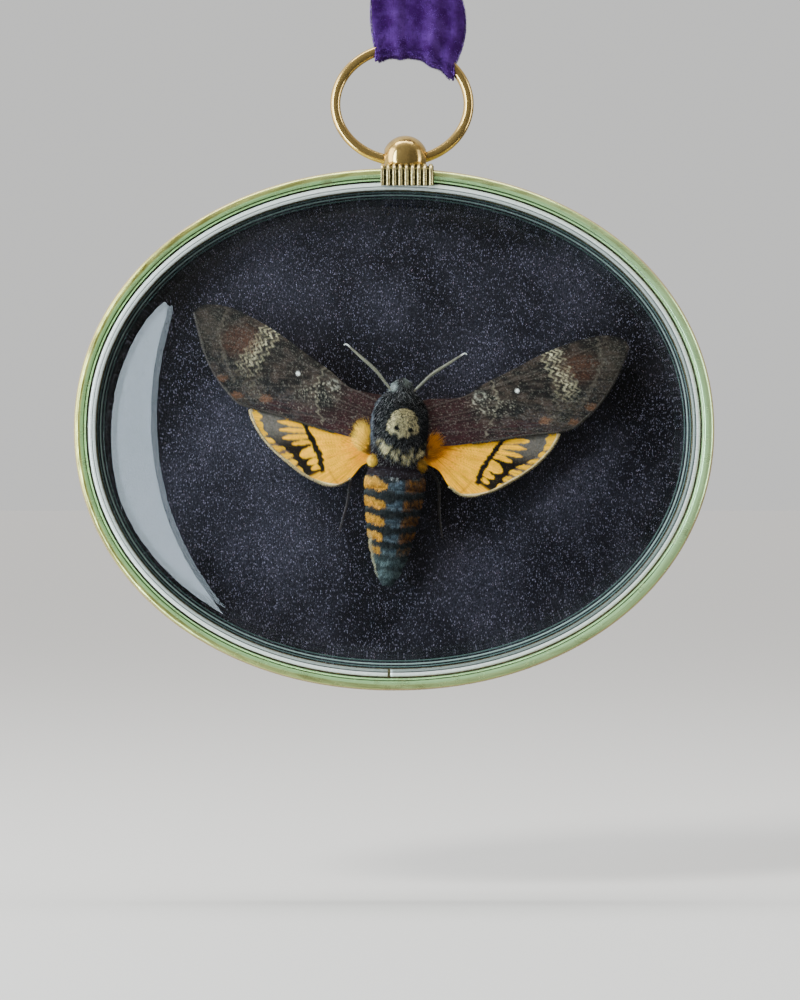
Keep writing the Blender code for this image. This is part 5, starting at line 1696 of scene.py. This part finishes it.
class FRAMEDMOTH_OT_stage(bpy.types.Operator):
    """Make the pale floor, the soft lights and the camera"""

    bl_idname = "framed_moth.stage"
    bl_label = "Stage"

    def execute(self, context):
        stage = context.scene.framed_moth_stage
        bpy.ops.mesh.primitive_plane_add(size=60.0, location=(0.0, 0.0, stage.floor_z))
        floor = context.object
        floor.name = "floor"
        finish, _, _ = plain_material("pale_floor", Base_Color=(0.7, 0.7, 0.69, 1.0), Roughness=0.9,
                                      Specular_IOR_Level=0.1)
        floor.data.materials.append(finish)
        floor.visible_glossy = False
        floor.visible_transmission = False
        make_world(context.scene)
        make_lights()
        make_camera(stage)
        return {"FINISHED"}


class FRAMEDMOTH_PT_pieces(bpy.types.Panel):
    """Buttons for each group of pieces, over their settings"""

    bl_label = "Framed Moth"
    bl_idname = "FRAMEDMOTH_PT_pieces"
    bl_space_type = "VIEW_3D"
    bl_region_type = "UI"
    bl_category = "Framed Moth"

    def draw(self, context):
        for operator in OPERATORS:
            self.layout.operator(operator.bl_idname)
        for name, kind in SETTINGS:
            box = self.layout.box()
            box.label(text=name.replace("_", " ").title())
            for key in kind.__annotations__:
                box.prop(getattr(context.scene, name), key)


SETTINGS = (("framed_moth_case", CaseSettings), ("framed_moth_ring", RingSettings),
            ("framed_moth_ribbon", RibbonSettings), ("framed_moth_ground", GroundSettings),
            ("framed_moth_moth", MothSettings), ("framed_moth_stage", StageSettings))
OPERATORS = (FRAMEDMOTH_OT_rim, FRAMEDMOTH_OT_glass, FRAMEDMOTH_OT_ground, FRAMEDMOTH_OT_ring,
             FRAMEDMOTH_OT_ribbon, FRAMEDMOTH_OT_body, FRAMEDMOTH_OT_wings, FRAMEDMOTH_OT_stage)


def register():
    for name, kind in SETTINGS:
        bpy.utils.register_class(kind)
        setattr(bpy.types.Scene, name, PointerProperty(type=kind))
    for operator in OPERATORS:
        bpy.utils.register_class(operator)
    bpy.utils.register_class(FRAMEDMOTH_PT_pieces)


def unregister():
    bpy.utils.unregister_class(FRAMEDMOTH_PT_pieces)
    for operator in reversed(OPERATORS):
        bpy.utils.unregister_class(operator)
    for name, kind in reversed(SETTINGS):
        delattr(bpy.types.Scene, name)
        bpy.utils.unregister_class(kind)


def main():
    register()
    bpy.ops.framed_moth.rim()
    bpy.ops.framed_moth.glass()
    bpy.ops.framed_moth.ground()
    bpy.ops.framed_moth.ring()
    bpy.ops.framed_moth.ribbon()
    bpy.ops.framed_moth.body()
    bpy.ops.framed_moth.wings()
    bpy.ops.framed_moth.stage()


if __name__ == "__main__":
    main()
